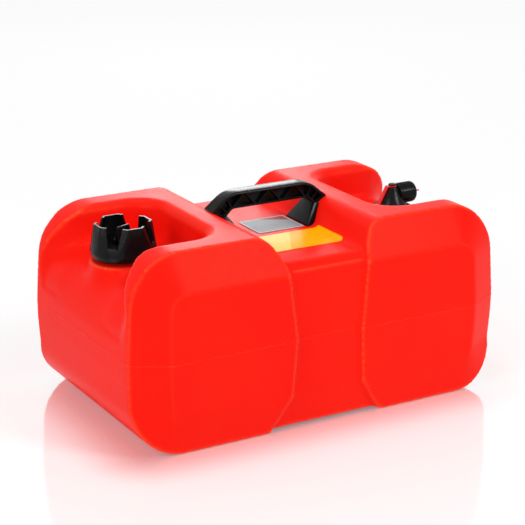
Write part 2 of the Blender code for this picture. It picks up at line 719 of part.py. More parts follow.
def tank_shell():
    """The hollow red body: outer form less inner form, with both necks bored through."""
    cavity = tank_form("cavity", WALL)
    for sign, word in SIDES:
        cut(cavity, handle_root(f"root_boss_{word}", sign, WALL))
    shell = tank_form("tank_shell", 0.0)
    cutters.objects.unlink(shell)
    shell.hide_render = False
    shell.display_type = "TEXTURED"
    necks = (neck("filler_neck", cap_x, filler_neck_top, THREAD_TURNS),
             neck("pickup_neck", pickup_x, pickup_neck_top, PICKUP_THREAD_TURNS))
    foot = pocket_floor - OVERRUN
    bores = (stand(rod("filler_bore", NECK_BORE_RADIUS, foot, filler_neck_top + OVERRUN), cap_x),
             stand(rod("pickup_bore", NECK_BORE_RADIUS, foot, pickup_neck_top + OVERRUN), pickup_x))
    grooves = [handle_root(f"root_groove_{word}", sign, FIT_GAP) for sign, word in SIDES]
    cut(shell, cavity, solver="MANIFOLD")
    join(shell, *necks, solver="MANIFOLD")
    cut(shell, *bores, *grooves, solver="MANIFOLD")
    return dress(shell, red_plastic)


# Filler cap

def crown_loop(radius, height, flatness):
    """A ring of the crown, round at flatness zero and eight-sided at one."""
    quarter = math.tau / CAP_SLOTS
    wide_half = quarter / 2 - CAP_NARROW_HALF_ANGLE
    points = []
    for i in range(CAP_LOOP_POINTS):
        angle = math.tau * i / CAP_LOOP_POINTS
        from_narrow = (angle + quarter / 2) % quarter - quarter / 2
        from_wide = angle % quarter - quarter / 2
        narrow = abs(from_narrow) <= CAP_NARROW_HALF_ANGLE
        offset, half = (from_narrow, CAP_NARROW_HALF_ANGLE) if narrow else (from_wide, wide_half)
        reach = radius * (1 - flatness + flatness * math.cos(half) / math.cos(offset))
        points.append((cap_x + reach * math.cos(angle), reach * math.sin(angle), height))
    return points


def crown_slot(i):
    """A slot in the crown's wall, wider at the rim, with a round floor."""
    foot_half, rim_half = CAP_SLOT_FOOT_WIDTH / 2, CAP_SLOT_RIM_WIDTH / 2
    floor = arc((0, cap_slot_floor + foot_half), foot_half, -math.pi, 0, CORNER_STEPS)
    rise = cap_rim_height - floor[0][1]
    over = (cap_rim_height + OVERRUN - floor[0][1]) / rise
    rim = foot_half + (rim_half - foot_half) * over
    outline = floor + [(rim, cap_rim_height + OVERRUN), (-rim, cap_rim_height + OVERRUN)]
    slot = prism_along_y(f"cap_slot_{i}", outline, CAP_FOOT_RADIUS / 2, CAP_BASE_RADIUS + OVERRUN)
    slot.location = (cap_x, 0, 0)
    slot.rotation_euler = (0, 0, math.tau * (i + 1 / 2) / CAP_SLOTS)
    return slot


def cap_crown():
    """The black cap: a skirt, a deck, and a bowl whose eight-sided wall has four slots."""
    wall_share = (deck_top - cap_waist_height) / (cap_rim_height - cap_waist_height)
    deck_radius = CAP_BASE_RADIUS + (CAP_RIM_RADIUS - CAP_BASE_RADIUS) * wall_share
    crown = loft("cap_crown", [crown_loop(CAP_FOOT_RADIUS, cap_skirt_low, 0),
                               crown_loop(CAP_BASE_RADIUS, cap_waist_height, 0),
                               crown_loop(deck_radius, deck_top, wall_share),
                               crown_loop(CAP_RIM_RADIUS, cap_rim_height, 1)], black_plastic)
    over = (cap_rim_height + OVERRUN - deck_top) / (cap_rim_height - deck_top)
    over_radius = deck_radius + (CAP_RIM_RADIUS - deck_radius) * over
    bowl = loft("cap_bowl", [crown_loop(deck_radius - CAP_RIM_THICKNESS, deck_top, wall_share),
                             crown_loop(CAP_RIM_RADIUS - CAP_RIM_THICKNESS, cap_rim_height, 1),
                             crown_loop(over_radius - CAP_RIM_THICKNESS, cap_rim_height + OVERRUN, 1)])
    skirt = rod("cap_skirt_bore", insert_radius + FIT_GAP, cap_skirt_low - OVERRUN, deck_low)
    vent = rod("cap_vent_hole", VENT_STEM_RADIUS + FIT_GAP, deck_low - OVERRUN, deck_top + OVERRUN,
               SMALL_STEPS)
    slots = [crown_slot(i) for i in range(CAP_SLOTS)]
    cut(crown, bowl, stand(skirt, cap_x), stand(vent, cap_x), *slots, solver="MANIFOLD")


def cap_insert():
    """The threaded ring inside the skirt, with a plate that presses on the gasket."""
    foot = cap_skirt_low + 2 * FIT_GAP
    hole = VENT_STEM_RADIUS + FIT_GAP
    plate_top = plate_low + INSERT_PLATE
    profile = [(hole, plate_top), (insert_radius, plate_top), (insert_radius, foot),
               (insert_bore_radius, foot), (insert_bore_radius, plate_low), (hole, plate_low)]
    insert = stand(turned("cap_insert", profile, ROUND_STEPS, white_nylon), cap_x)
    neck_start = filler_neck_top - THREAD_ROOT_WIDTH - THREAD_PITCH * THREAD_TURNS
    ridge = thread("cap_insert_thread", insert_bore_radius, -THREAD_DEPTH, INSERT_THREAD_TURNS,
                   neck_start + THREAD_PITCH / 2)
    join(insert, stand(ridge, cap_x))


def cap_gasket():
    profile = ring_profile(NECK_BORE_RADIUS, insert_bore_radius - FIT_GAP, gasket_low,
                           gasket_low + GASKET_THICKNESS)
    stand(turned("cap_gasket", profile, ROUND_STEPS, black_rubber), cap_x)


def vent_knob():
    """The vent screw: a stem with a groove near its foot, a disc and a wing to turn it by."""
    groove = VENT_STEM_RADIUS - VENT_GROOVE_DEPTH
    groove_top = vent_groove_foot + VENT_CLIP_THICKNESS + 2 * FIT_GAP
    disc_top = knob_low + VENT_KNOB_DISC
    profile = [(0, disc_top), (VENT_KNOB_RADIUS - FIT_GAP, disc_top),
               (VENT_KNOB_RADIUS, disc_top - FIT_GAP), (VENT_KNOB_RADIUS, knob_low),
               (VENT_STEM_RADIUS, knob_low), (VENT_STEM_RADIUS, groove_top), (groove, groove_top),
               (groove, vent_groove_foot), (VENT_STEM_RADIUS, vent_groove_foot),
               (VENT_STEM_RADIUS, vent_stem_foot), (0, vent_stem_foot)]
    knob = stand(turned("vent_knob", profile, ROUND_STEPS, black_plastic, closed=False), cap_x)
    half, thick = VENT_WING_LENGTH / 2, VENT_WING_THICKNESS / 2
    wing = block("vent_wing", (-half, -thick, disc_top - VENT_KNOB_DISC / 2), (half, thick, vent_wing_top))
    bevel = wing.modifiers.new("round", "BEVEL")
    bevel.width = VENT_WING_ROUND
    bevel.segments = EDGE_STEPS
    wing.location = (cap_x, 0, 0)
    wing.rotation_euler = (0, 0, VENT_WING_TURN)
    join(knob, wing)


def vent_washer():
    profile = ring_profile(VENT_STEM_RADIUS + FIT_GAP, VENT_WASHER_RADIUS, washer_low,
                           washer_low + VENT_WASHER_THICKNESS)
    stand(turned("vent_washer", profile, SMALL_STEPS, black_rubber), cap_x)


def vent_clip():
    """The open ring that keeps the vent screw in the cap."""
    low = vent_groove_foot + FIT_GAP
    inner = VENT_STEM_RADIUS - VENT_GROOVE_DEPTH + FIT_GAP
    profile = ring_profile(inner, VENT_CLIP_RADIUS, low, low + VENT_CLIP_THICKNESS)
    clip = turned("vent_retaining_clip", profile, SMALL_STEPS, steel)
    half = inner * VENT_CLIP_MOUTH_SHARE
    mouth = block("vent_clip_mouth", (0, -half, low - OVERRUN), (OVERRUN, half, low + OVERRUN))
    cut(stand(clip, cap_x), stand(mouth, cap_x))


# Fuel pickup

def ring_nut():
    """The nut that clamps the pickup's flange on its neck."""
    lip_low = flange_top + FIT_GAP
    hole = CONE_FOOT_RADIUS + FIT_GAP
    profile = [(hole, ring_nut_top), (RING_NUT_TOP_RADIUS, ring_nut_top),
               (RING_NUT_RADIUS, ring_nut_foot + RING_NUT_STEP), (RING_NUT_RADIUS, ring_nut_foot),
               (insert_bore_radius, ring_nut_foot), (insert_bore_radius, lip_low), (hole, lip_low)]
    nut = stand(turned("pickup_ring_nut", profile, ROUND_STEPS, black_plastic), pickup_x)
    start = pickup_neck_top - THREAD_ROOT_WIDTH - THREAD_PITCH * PICKUP_THREAD_TURNS + THREAD_PITCH / 2
    ridge = thread("ring_nut_thread", insert_bore_radius, -THREAD_DEPTH, RING_NUT_THREAD_TURNS, start)
    join(nut, stand(ridge, pickup_x))
    for i in range(RING_NUT_GRIPS):
        angle = math.tau * (i + 1 / 2) / RING_NUT_GRIPS
        grip = rod(f"ring_nut_grip_{i}", RING_NUT_GRIP_RADIUS, ring_nut_foot - OVERRUN,
                   ring_nut_top + OVERRUN, SMALL_STEPS)
        grip.location = (pickup_x + RING_NUT_RADIUS * math.cos(angle), RING_NUT_RADIUS * math.sin(angle), 0)
        cut(nut, grip)


def pickup_gasket():
    low = pickup_neck_top + FIT_GAP
    profile = ring_profile(NECK_BORE_RADIUS, NECK_RADIUS, low, low + PICKUP_GASKET_THICKNESS)
    stand(turned("pickup_gasket", profile, ROUND_STEPS, black_rubber), pickup_x)


def along_x(name, profile, steps, look=None, closed=True):
    """A turned piece on the outlet's axis, its profile's heights counted along X."""
    return lay(turned(name, profile, steps, look, closed), outlet_height)


def pickup_elbow():
    """The conical fitting: flange, cone, stem for the tube, and a boss for the outlet on its side."""
    profile = [(0, crown_height), (BUTTON_RADIUS - FIT_GAP, crown_height),
               (BUTTON_RADIUS, crown_height - FIT_GAP), (BUTTON_RADIUS, button_foot),
               (BUTTON_NECK_RADIUS, button_foot), (BUTTON_NECK_RADIUS, cone_top_height),
               (CONE_TOP_RADIUS, cone_top_height), (CONE_FOOT_RADIUS, cone_shoulder_height),
               (CONE_FOOT_RADIUS, flange_top), (NECK_RADIUS, flange_top), (NECK_RADIUS, flange_low),
               (STEM_RADIUS, flange_low), (STEM_RADIUS, stem_foot), (0, stem_foot)]
    elbow = stand(turned("pickup_elbow", profile, ROUND_STEPS, black_plastic, closed=False), pickup_x)
    clear_end = pickup_x + NECK_RADIUS + OVERRUN
    clearance = along_x("sleeve_clearance",
                        rod_profile(SLEEVE_RADIUS + FIT_GAP, sleeve_start - FIT_GAP, clear_end),
                        ROUND_STEPS, closed=False)
    outlet = along_x("outlet_boss", rod_profile(OUTLET_BOSS_RADIUS, pickup_x, outlet_boss_end),
                     ROUND_STEPS, closed=False)
    socket = rod("stem_socket", TUBE_RADIUS + FIT_GAP, stem_foot - OVERRUN, stem_socket_top, SMALL_STEPS)
    riser = rod("riser_bore", FUEL_BORE_RADIUS, stem_foot, outlet_height, SMALL_STEPS)
    bend = along_x("outlet_bore",
                   rod_profile(FUEL_BORE_RADIUS, pickup_x - FUEL_BORE_RADIUS, valve_chamber_start + OVERRUN),
                   SMALL_STEPS, closed=False)
    chamber_end = outlet_boss_end + OVERRUN
    spigot_hole = NIPPLE_SPIGOT_RADIUS + FIT_GAP
    spigot_end = outlet_boss_end - NIPPLE_SPIGOT - FIT_GAP
    profile = [(0, chamber_end), (spigot_hole, chamber_end), (spigot_hole, spigot_end),
               (VALVE_CHAMBER_RADIUS, spigot_end), (VALVE_CHAMBER_RADIUS, valve_chamber_start),
               (0, valve_chamber_start)]
    chamber = along_x("valve_chamber", profile, SMALL_STEPS, closed=False)
    cut(elbow, clearance, solver="MANIFOLD")
    join(elbow, outlet, solver="MANIFOLD")
    cut(elbow, stand(socket, pickup_x), stand(riser, pickup_x), bend, chamber, solver="MANIFOLD")


def outlet_nipple():
    """The brass spigot for the hose, with barbs, and the flange that keeps the sleeve on."""
    start = outlet_boss_end - NIPPLE_SPIGOT
    outer = [(NIPPLE_SPIGOT_RADIUS, start), (NIPPLE_SPIGOT_RADIUS, nipple_flange_start),
             (NIPPLE_FLANGE_RADIUS, nipple_flange_start), (NIPPLE_FLANGE_RADIUS, nipple_barb_start)]
    for i in range(NIPPLE_BARBS):
        foot = nipple_barb_start + NIPPLE_BARB_PITCH * i
        outer.append((NIPPLE_BARB_RADIUS, foot + (NIPPLE_BARB_STEP / 2 if i else 0)))
        outer.append((NIPPLE_BARB_RADIUS - NIPPLE_BARB_STEP, foot + NIPPLE_BARB_PITCH))
    end = nipple_barb_start + NIPPLE_BARB_PITCH * NIPPLE_BARBS
    profile = list(reversed(outer)) + [(NIPPLE_BORE_RADIUS, start), (NIPPLE_BORE_RADIUS, end)]
    along_x("outlet_nipple", profile, SMALL_STEPS, brass)


def outlet_sleeve():
    """The fluted sleeve that turns round the outlet and shields the nipple."""
    lip_end = lip_start + SLEEVE_LIP_THICKNESS
    mouth_start = sleeve_end - SLEEVE_MOUTH_WALL
    lip_hole = NIPPLE_SPIGOT_RADIUS + FIT_GAP
    rounding = arc((SLEEVE_RADIUS - SLEEVE_END_ROUND, sleeve_end - SLEEVE_END_ROUND), SLEEVE_END_ROUND,
                   math.pi / 2, 0, SLEEVE_END_STEPS)
    profile = [(SLEEVE_MOUTH_RADIUS, sleeve_end)] + rounding + [
        (SLEEVE_RADIUS, sleeve_start), (SLEEVE_BORE_RADIUS, sleeve_start), (SLEEVE_BORE_RADIUS, lip_start),
        (lip_hole, lip_start), (lip_hole, lip_end), (SLEEVE_BORE_RADIUS, lip_end),
        (SLEEVE_BORE_RADIUS, mouth_start), (SLEEVE_MOUTH_RADIUS, mouth_start)]
    sleeve = along_x("outlet_sleeve", profile, ROUND_STEPS, black_plastic)
    for i in range(SLEEVE_FLUTES):
        angle = math.tau * i / SLEEVE_FLUTES
        flute = rod(f"sleeve_flute_{i}", SLEEVE_FLUTE_RADIUS, sleeve_start - OVERRUN,
                    sleeve_end - SLEEVE_END_ROUND - SLEEVE_FLUTE_END / 2, SLEEVE_FLUTE_STEPS)
        flute.rotation_euler = (0, math.pi / 2, 0)
        flute.location = (0, SLEEVE_RADIUS * math.cos(angle), outlet_height + SLEEVE_RADIUS * math.sin(angle))
        cut(sleeve, flute)


def dust_plug():
    """The red plug in the sleeve's mouth: a pin in the nipple, a head and a flat tail."""
    head_start = sleeve_end - PLUG_HEAD_THICKNESS - FIT_GAP
    profile = [(0, sleeve_end - FIT_GAP), (PLUG_HEAD_RADIUS, sleeve_end - FIT_GAP),
               (PLUG_HEAD_RADIUS, head_start),
               (PLUG_PIN_RADIUS, head_start), (PLUG_PIN_RADIUS, plug_pin_start), (0, plug_pin_start)]
    plug = along_x("dust_plug", profile, SMALL_STEPS, red_strap, closed=False)
    half, thick = PLUG_TAIL_WIDTH / 2, PLUG_TAIL_THICKNESS / 2
    tail = block("plug_tail", (head_start + FIT_GAP, -half, outlet_height - thick),
                 (plug_tail_end, half, outlet_height + thick))
    join(plug, tail)


def plug_strap():
    """The red strap from the cone's button, down its slope, to the rim of the boss."""
    gap = 2 * FIT_GAP
    nut_edge = RING_NUT_RADIUS + gap
    floor = pocket_floor + PICKUP_BOSS_HEIGHT + FIT_GAP
    low = cone_top_height + FIT_GAP
    under = [(BUTTON_NECK_RADIUS + gap, low), (CONE_TOP_RADIUS + gap, low),
             (CONE_FOOT_RADIUS + gap, cone_shoulder_height), (RING_NUT_TOP_RADIUS + gap, ring_nut_top + gap),
             (nut_edge, ring_nut_foot + RING_NUT_STEP), (nut_edge + FIT_GAP, floor),
             (nut_edge + STRAP_TAB_LENGTH / 2, floor)]
    over = []
    for i, (reach, height) in enumerate(under):
        before = Vector(under[max(0, i - 1)])
        after = Vector(under[min(len(under) - 1, i + 1)])
        along = (after - before).normalized()
        outwards = Vector((-along.y, along.x))
        over.append(tuple(Vector((reach, height)) + outwards * STRAP_THICKNESS))
    outline = [(pickup_x - reach, height) for reach, height in under + list(reversed(over))]
    half = STRAP_WIDTH / 2
    strap = prism_along_y("plug_strap", outline, -half, half, red_strap)
    inner, high = BUTTON_NECK_RADIUS + FIT_GAP, button_foot - FIT_GAP
    ring = turned("strap_ring", ring_profile(inner, STRAP_RING_RADIUS, low, high), SMALL_STEPS)
    hole = rod("strap_ring_hole", inner, low - OVERRUN, high + OVERRUN, SMALL_STEPS)
    above = rod("strap_top_clearance", NECK_RADIUS, high, high + OVERRUN)
    join(strap, stand(ring, pickup_x))
    cut(strap, stand(hole, pickup_x), stand(above, pickup_x))


def check_valve():
    """The ball and its spring, which shut the outlet when nothing is drawn."""
    bm = bmesh.new()
    bmesh.ops.create_uvsphere(bm, u_segments=SMALL_STEPS, v_segments=SMALL_STEPS // 2,
                              radius=VALVE_BALL_RADIUS)
    ball = solid("check_ball", bm, steel)
    ball.location = (ball_x, 0, outlet_height)
    start = ball_x + VALVE_BALL_RADIUS + SPRING_WIRE_RADIUS + FIT_GAP
    end = outlet_boss_end - NIPPLE_SPIGOT - SPRING_WIRE_RADIUS - FIT_GAP
    radius = VALVE_CHAMBER_RADIUS - SPRING_WIRE_RADIUS - 2 * FIT_GAP
    count = SPRING_TURNS * SPRING_TURN_POINTS
    curve = bpy.data.curves.new("check_spring", "CURVE")
    curve.dimensions = "3D"
    curve.bevel_depth = SPRING_WIRE_RADIUS
    curve.bevel_resolution = 1
    curve.use_fill_caps = True
    spline = curve.splines.new("POLY")
    spline.points.add(count)
    for i, point in enumerate(spline.points):
        angle = math.tau * SPRING_TURNS * i / count
        x = start + (end - start) * i / count
        point.co = (x, radius * math.cos(angle), outlet_height + radius * math.sin(angle), 1)
    spring = bpy.data.objects.new("check_spring", curve)
    parts.objects.link(spring)
    curve.materials.append(steel)


# Pickup tube and strainer

def dip_tube():
    profile = ring_profile(TUBE_BORE_RADIUS, TUBE_RADIUS, TUBE_FOOT, tube_top)
    stand(turned("dip_tube", profile, SMALL_STEPS, white_nylon), pickup_x)


def tube_clamp():
    """The ring that grips the tube under the stem."""
    profile = ring_profile(TUBE_RADIUS + FIT_GAP, CLAMP_RADIUS, clamp_top - CLAMP_HEIGHT, clamp_top)
    stand(turned("tube_clamp", profile, SMALL_STEPS, steel), pickup_x)


def strainer():
    """The slotted cup at the tube's foot and the fine screen inside it."""
    top = STRAINER_FOOT + STRAINER_HEIGHT
    inner = STRAINER_RADIUS - STRAINER_WALL
    floor = STRAINER_FOOT + STRAINER_FLOOR
    collar = TUBE_RADIUS + FIT_GAP
    profile = [(0, floor), (inner, floor), (inner, top - STRAINER_COLLAR), (collar, top - STRAINER_COLLAR),
               (collar, top), (STRAINER_RADIUS, top), (STRAINER_RADIUS, STRAINER_FOOT), (0, STRAINER_FOOT)]
    cup = stand(turned("strainer_cup", profile, SMALL_STEPS, black_plastic, closed=False), pickup_x)
    slot_foot = floor + STRAINER_SLOT_FOOT
    slot_top = top - STRAINER_COLLAR - STRAINER_SLOT_FOOT / 2
    half = STRAINER_SLOT_WIDTH / 2
    for i in range(STRAINER_SLOTS):
        slot = block(f"strainer_slot_{i}", (inner / 2, -half, slot_foot),
                     (STRAINER_RADIUS + OVERRUN, half, slot_top))
        slot.location = (pickup_x, 0, 0)
        slot.rotation_euler = (0, 0, math.tau * (i + 1 / 2) / STRAINER_SLOTS)
        cut(cup, slot)
    outer = inner - FIT_GAP
    profile = ring_profile(outer - SCREEN_THICKNESS, outer, floor + FIT_GAP, top - STRAINER_COLLAR - FIT_GAP)
    stand(turned("strainer_screen", profile, SMALL_STEPS, steel), pickup_x)


# Carry handle

def shrunk(points, share):
    """A polygon drawn in towards its middle."""
    middle = sum((Vector(point) for point in points), Vector((0, 0))) / len(points)
    return [tuple(Vector(point).lerp(middle, share)) for point in points]


def handle_arch():
    """The grip and both legs, down to the curve of the tank."""
    curve = [point for point in valley_curve(FIT_GAP, CORNER_STEPS) if leg_inner_height < point[1]]
    foot = [point for point in curve if point[0] < leg_outer_x]
    shoulder = handle_top - GRIP_SHOULDER_DROP
    under = leg_inner_height - RIB_WIDTH
    outer = [(leg_inner_x, under), (leg_inner_x + RIB_WIDTH, under)] + foot + [
        (leg_outer_x, leg_tip_height), (grip_shoulder_x, shoulder), (grip_top_half, handle_top)]
    inner = [(leg_inner_x, leg_inner_height), (grip_opening_half, handle_top - GRIP_HEIGHT)]
    outline = mirrored(outer) + [(-x, z) for x, z in inner] + list(reversed(inner))
    return prism_along_y("carry_handle", outline, -HANDLE_HALF_DEPTH, HANDLE_HALF_DEPTH, black_plastic)


def handle_foot(sign, word):
    """A foot that lies on the valley's wall and spreads towards the floor."""
    curve = valley_curve(FIT_GAP, CORNER_STEPS)
    wall = [point for point in curve if foot_inner_x < point[0] and point[1] < leg_inner_height]
    lip = (leg_inner_x - RIB_WIDTH, leg_inner_height)
    outline = [(foot_inner_x, curve[0][1])] + wall + [(leg_inner_x + ROOT_DEPTH, leg_inner_height), lip,
                                                      (foot_inner_x, foot_inner_height)]
    loops = []
    for turn in (-1, 1):
        loop = []
        for x, z in outline:
            rise = (z - curve[0][1]) / (leg_inner_height - curve[0][1])
            depth = FOOT_HALF_DEPTH * (1 + (FOOT_TOP_SHARE - 1) * rise)
            loop.append((sign * x, turn * depth, z))
        loops.append(loop)
    return loft(f"handle_foot_{word}", loops)


def truss_recesses():
    """The hollows in the grip's faces, between its slanting ribs."""
    high = handle_top - HANDLE_RIM
    low = handle_top - GRIP_HEIGHT + HANDLE_RIM
    pitch = 2 * grip_opening_half / RIB_BAYS
    run = pitch / 2
    half_rib = RIB_WIDTH / 2 * math.hypot(run, high - low) / (high - low)
    drop = half_rib * (high - low) / run
    outlines = []
    for i in range(2 * RIB_BAYS - 1):
        middle = (i + 1) * run - grip_opening_half
        base, apex = (low, high - drop) if i % 2 == 0 else (high, low + drop)
        outlines.append([(middle - run + half_rib, base), (middle + run - half_rib, base), (middle, apex)])
    leg = [(leg_inner_x, leg_inner_height), (leg_outer_x, leg_tip_height),
           (grip_shoulder_x, handle_top - GRIP_SHOULDER_DROP), (grip_opening_half, handle_top - GRIP_HEIGHT)]
    for sign, _ in SIDES:
        outlines.append([(sign * x, z) for x, z in shrunk(leg, LEG_RECESS_SHARE)])
    outside = HANDLE_HALF_DEPTH + OVERRUN
    for i, outline in enumerate(outlines):
        yield prism_along_y(f"truss_front_{i}", outline, -outside, -HANDLE_WEB / 2)
        yield prism_along_y(f"truss_back_{i}", outline, HANDLE_WEB / 2, outside)


def carry_handle():
    handle = handle_arch()
    for sign, word in SIDES:
        join(handle, handle_foot(sign, word), handle_root(f"handle_root_{word}", sign, 0))
    cut(handle, *truss_recesses())


# Labels

def labels():
    """Two bare labels on the valley's floor, the yellow one turning up at its right end."""
    low = valley_floor + FIT_GAP
    block("silver_label", (silver_label_start_x, SILVER_LABEL_FRONT, low),
          (silver_label_end_x, SILVER_LABEL_BACK, low + LABEL_THICKNESS), silver_film)
    rise = round(CORNER_STEPS * YELLOW_LABEL_RISE_SHARE) + 1
    under = [(yellow_label_start_x, low)] + valley_curve(FIT_GAP, CORNER_STEPS)[:rise]
    over = [(yellow_label_start_x, low + LABEL_THICKNESS)] + \
        valley_curve(FIT_GAP + LABEL_THICKNESS, CORNER_STEPS)[:rise]
    prism_along_y("yellow_label", under + list(reversed(over)), YELLOW_LABEL_FRONT, YELLOW_LABEL_BACK,
                  yellow_film)


tank_shell()
cap_crown()
cap_insert()
cap_gasket()
vent_knob()
vent_washer()
vent_clip()
ring_nut()
pickup_gasket()
pickup_elbow()
outlet_nipple()
outlet_sleeve()
dust_plug()
plug_strap()
check_valve()
dip_tube()
tube_clamp()
strainer()
carry_handle()
labels()
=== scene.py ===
import math

import bmesh
import bpy
from mathutils import Matrix, Vector


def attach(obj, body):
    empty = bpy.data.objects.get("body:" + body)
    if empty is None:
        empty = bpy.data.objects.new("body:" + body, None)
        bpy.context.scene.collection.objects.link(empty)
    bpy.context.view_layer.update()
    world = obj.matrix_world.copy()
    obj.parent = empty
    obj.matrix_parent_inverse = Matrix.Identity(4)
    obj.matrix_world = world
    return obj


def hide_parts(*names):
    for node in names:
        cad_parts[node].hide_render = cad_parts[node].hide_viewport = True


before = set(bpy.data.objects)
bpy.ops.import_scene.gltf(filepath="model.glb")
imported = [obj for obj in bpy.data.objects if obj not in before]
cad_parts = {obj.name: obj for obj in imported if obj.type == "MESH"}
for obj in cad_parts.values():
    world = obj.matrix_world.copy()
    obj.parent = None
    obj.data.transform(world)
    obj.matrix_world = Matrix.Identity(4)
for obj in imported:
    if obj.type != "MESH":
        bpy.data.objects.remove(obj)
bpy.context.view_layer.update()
sides = (-1, 1)  # left and right
mergeReach = 0.00001  # points nearer than this become one
rowReach = 0.00002  # points nearer than this in height make one row


# Small tools that stand in for the mouse

def objectMode():
    if bpy.context.object and bpy.context.object.mode != "OBJECT":
        bpy.ops.object.mode_set(mode="OBJECT")


def deselectAll():
    objectMode()
    bpy.ops.object.select_all(action="DESELECT")


def activate(piece):
    deselectAll()
    piece.select_set(True)
    bpy.context.view_layer.objects.active = piece


def editMode(piece):
    activate(piece)
    bpy.ops.object.mode_set(mode="EDIT")


def selectAll():
    bpy.ops.mesh.select_all(action="SELECT")


def pick(kind, test):  # kind is VERT, EDGE or FACE
    bpy.ops.mesh.select_mode(type=kind)
    bpy.ops.mesh.select_all(action="DESELECT")
    data = bpy.context.object.data
    mesh = bmesh.from_edit_mesh(data)
    for item in {"VERT": mesh.verts, "EDGE": mesh.edges, "FACE": mesh.faces}[kind]:
        if test(item):
            item.select_set(True)
    mesh.select_flush_mode()
    bmesh.update_edit_mesh(data)


def near(a, b, reach=0.0001):
    return abs(a - b) < reach


def pickRow(height):
    pick("VERT", lambda vert: near(vert.co.z, height, rowReach))


def extrude(step):
    bpy.ops.mesh.extrude_region_move(TRANSFORM_OT_translate={"value": step})


def stretch(amount, centre):
    bpy.ops.transform.resize(value=amount, center_override=centre)


def sliceAt(spot, normal, **settings):
    selectAll()
    bpy.ops.mesh.bisect(plane_co=spot, plane_no=normal, **settings)


def roundOff(width, steps):
    bpy.ops.mesh.bevel(offset=width, segments=steps, profile=0.5, affect="EDGES")


def settle(piece):  # the place goes into the mesh
    activate(piece)
    bpy.ops.object.transform_apply(location=True, rotation=True, scale=True)
    return piece


def addCube(name, low, high):
    deselectAll()
    middle = [(a + b) / 2 for a, b in zip(low, high)]
    bpy.ops.mesh.primitive_cube_add(size=1, location=middle, scale=[b - a for a, b in zip(low, high)])
    piece = bpy.context.object
    piece.name = name
    return settle(piece)


def drawLine(name, points, close=True):  # a line drawn point by point, from a plane merged to one vertex
    deselectAll()
    bpy.ops.mesh.primitive_plane_add(size=0.01, location=points[0])
    piece = bpy.context.object
    piece.name = name
    settle(piece)
    bpy.ops.object.mode_set(mode="EDIT")
    bpy.ops.mesh.select_mode(type="VERT")
    selectAll()
    bpy.ops.mesh.merge(type="CENTER")
    for before, after in zip(points, points[1:]):
        extrude(Vector(after) - Vector(before))
    selectAll()
    if close:
        bpy.ops.mesh.edge_face_add()
    return piece


def cleanUp(piece):
    editMode(piece)
    bpy.ops.mesh.select_mode(type="VERT")
    selectAll()
    bpy.ops.mesh.remove_doubles(threshold=mergeReach)
    bpy.ops.mesh.normals_make_consistent(inside=False)
    if bmesh.from_edit_mesh(piece.data).calc_volume(signed=True) < 0:
        bpy.ops.mesh.flip_normals()
    objectMode()
    return piece


def pullOut(name, points, along):  # a drawn outline, extruded
    piece = drawLine(name, points)
    extrude(along)
    return cleanUp(piece)


def slabY(name, outline, low, high):  # outline of (x, z)
    return pullOut(name, [(x, low, z) for x, z in outline], (0, high - low, 0))


def slabX(name, outline, low, high):  # outline of (y, z)
    return pullOut(name, [(low, y, z) for y, z in outline], (high - low, 0, 0))


def slabZ(name, outline, low, high):  # outline of (x, y)
    return pullOut(name, [(x, y, low) for x, y in outline], (0, 0, high - low))


def spin(name, points, centre, axis, steps):
    piece = drawLine(name, points, close=False)
    bpy.ops.mesh.spin(steps=steps, angle=math.tau, center=centre, axis=axis)
    return cleanUp(piece)


def ringed(profile):  # a profile that starts off the axis closes on itself
    return profile + profile[:1] if profile[0][0] else profile


def spinZ(name, profile, x, steps):  # profile of (radius, height), turned about an upright axis
    points = [(x + radius, 0, height) for radius, height in ringed(profile)]
    return spin(name, points, (x, 0, 0), (0, 0, 1), steps)


def spinX(name, profile, z, steps):  # profile of (radius, x), turned about a level axis
    points = [(x, 0, z + radius) for radius, x in ringed(profile)]
    return spin(name, points, (0, 0, z), (1, 0, 0), steps)


def rodZ(name, radius, high, low, x, steps):
    return spinZ(name, [(0, high), (radius, high), (radius, low), (0, low)], x, steps)


def rodX(name, radius, start, end, z, steps):
    return spinX(name, [(0, start), (radius, start), (radius, end), (0, end)], z, steps)


def modify(piece, kind, **settings):
    activate(piece)
    modifier = piece.modifiers.new(kind, kind)
    for name, value in settings.items():
        setattr(modifier, name, value)
    bpy.ops.object.modifier_apply(modifier=modifier.name)
    return piece


def boolean(piece, operation, others, solver="EXACT"):
    for other in others:
        modify(piece, "BOOLEAN", operation=operation, object=other, solver=solver)
        bpy.data.objects.remove(other)
    return piece


def carve(piece, *others, solver="EXACT"):
    return boolean(piece, "DIFFERENCE", others, solver)


def weld(piece, *others, solver="EXACT"):
    return boolean(piece, "UNION", others, solver)


def joinUp(piece, *others):
    activate(piece)
    for other in others:
        other.select_set(True)
    bpy.ops.object.join()
    return piece


def softenEdges(piece, width, segments, angle):
    return modify(piece, "BEVEL", width=width, segments=segments, limit_method="ANGLE",
                  angle_limit=math.radians(angle), use_clamp_overlap=True)


def copyOf(piece, name):
    activate(piece)
    bpy.ops.object.duplicate(linked=False)
    bpy.context.object.name = name
    return bpy.context.object


def moveAll(piece, step):
    editMode(piece)
    selectAll()
    bpy.ops.transform.translate(value=step)
    objectMode()
    return piece


def turnAll(piece, angle, axis="Z", centre=(0, 0, 0)):
    editMode(piece)
    selectAll()
    bpy.ops.transform.rotate(value=angle, orient_axis=axis, center_override=centre)
    objectMode()
    return piece


def arc(centre, radius, start, end, steps):
    turns = [math.radians(start + (end - start) * i / steps) for i in range(steps + 1)]
    return [(centre[0] + radius * math.cos(t), centre[1] + radius * math.sin(t)) for t in turns]


def mirrored(half):
    return half + [(-a, b) for a, b in reversed(half)]


def smoothStep(share):
    share = min(1, max(0, share))
    return share * share * (3 - 2 * share)


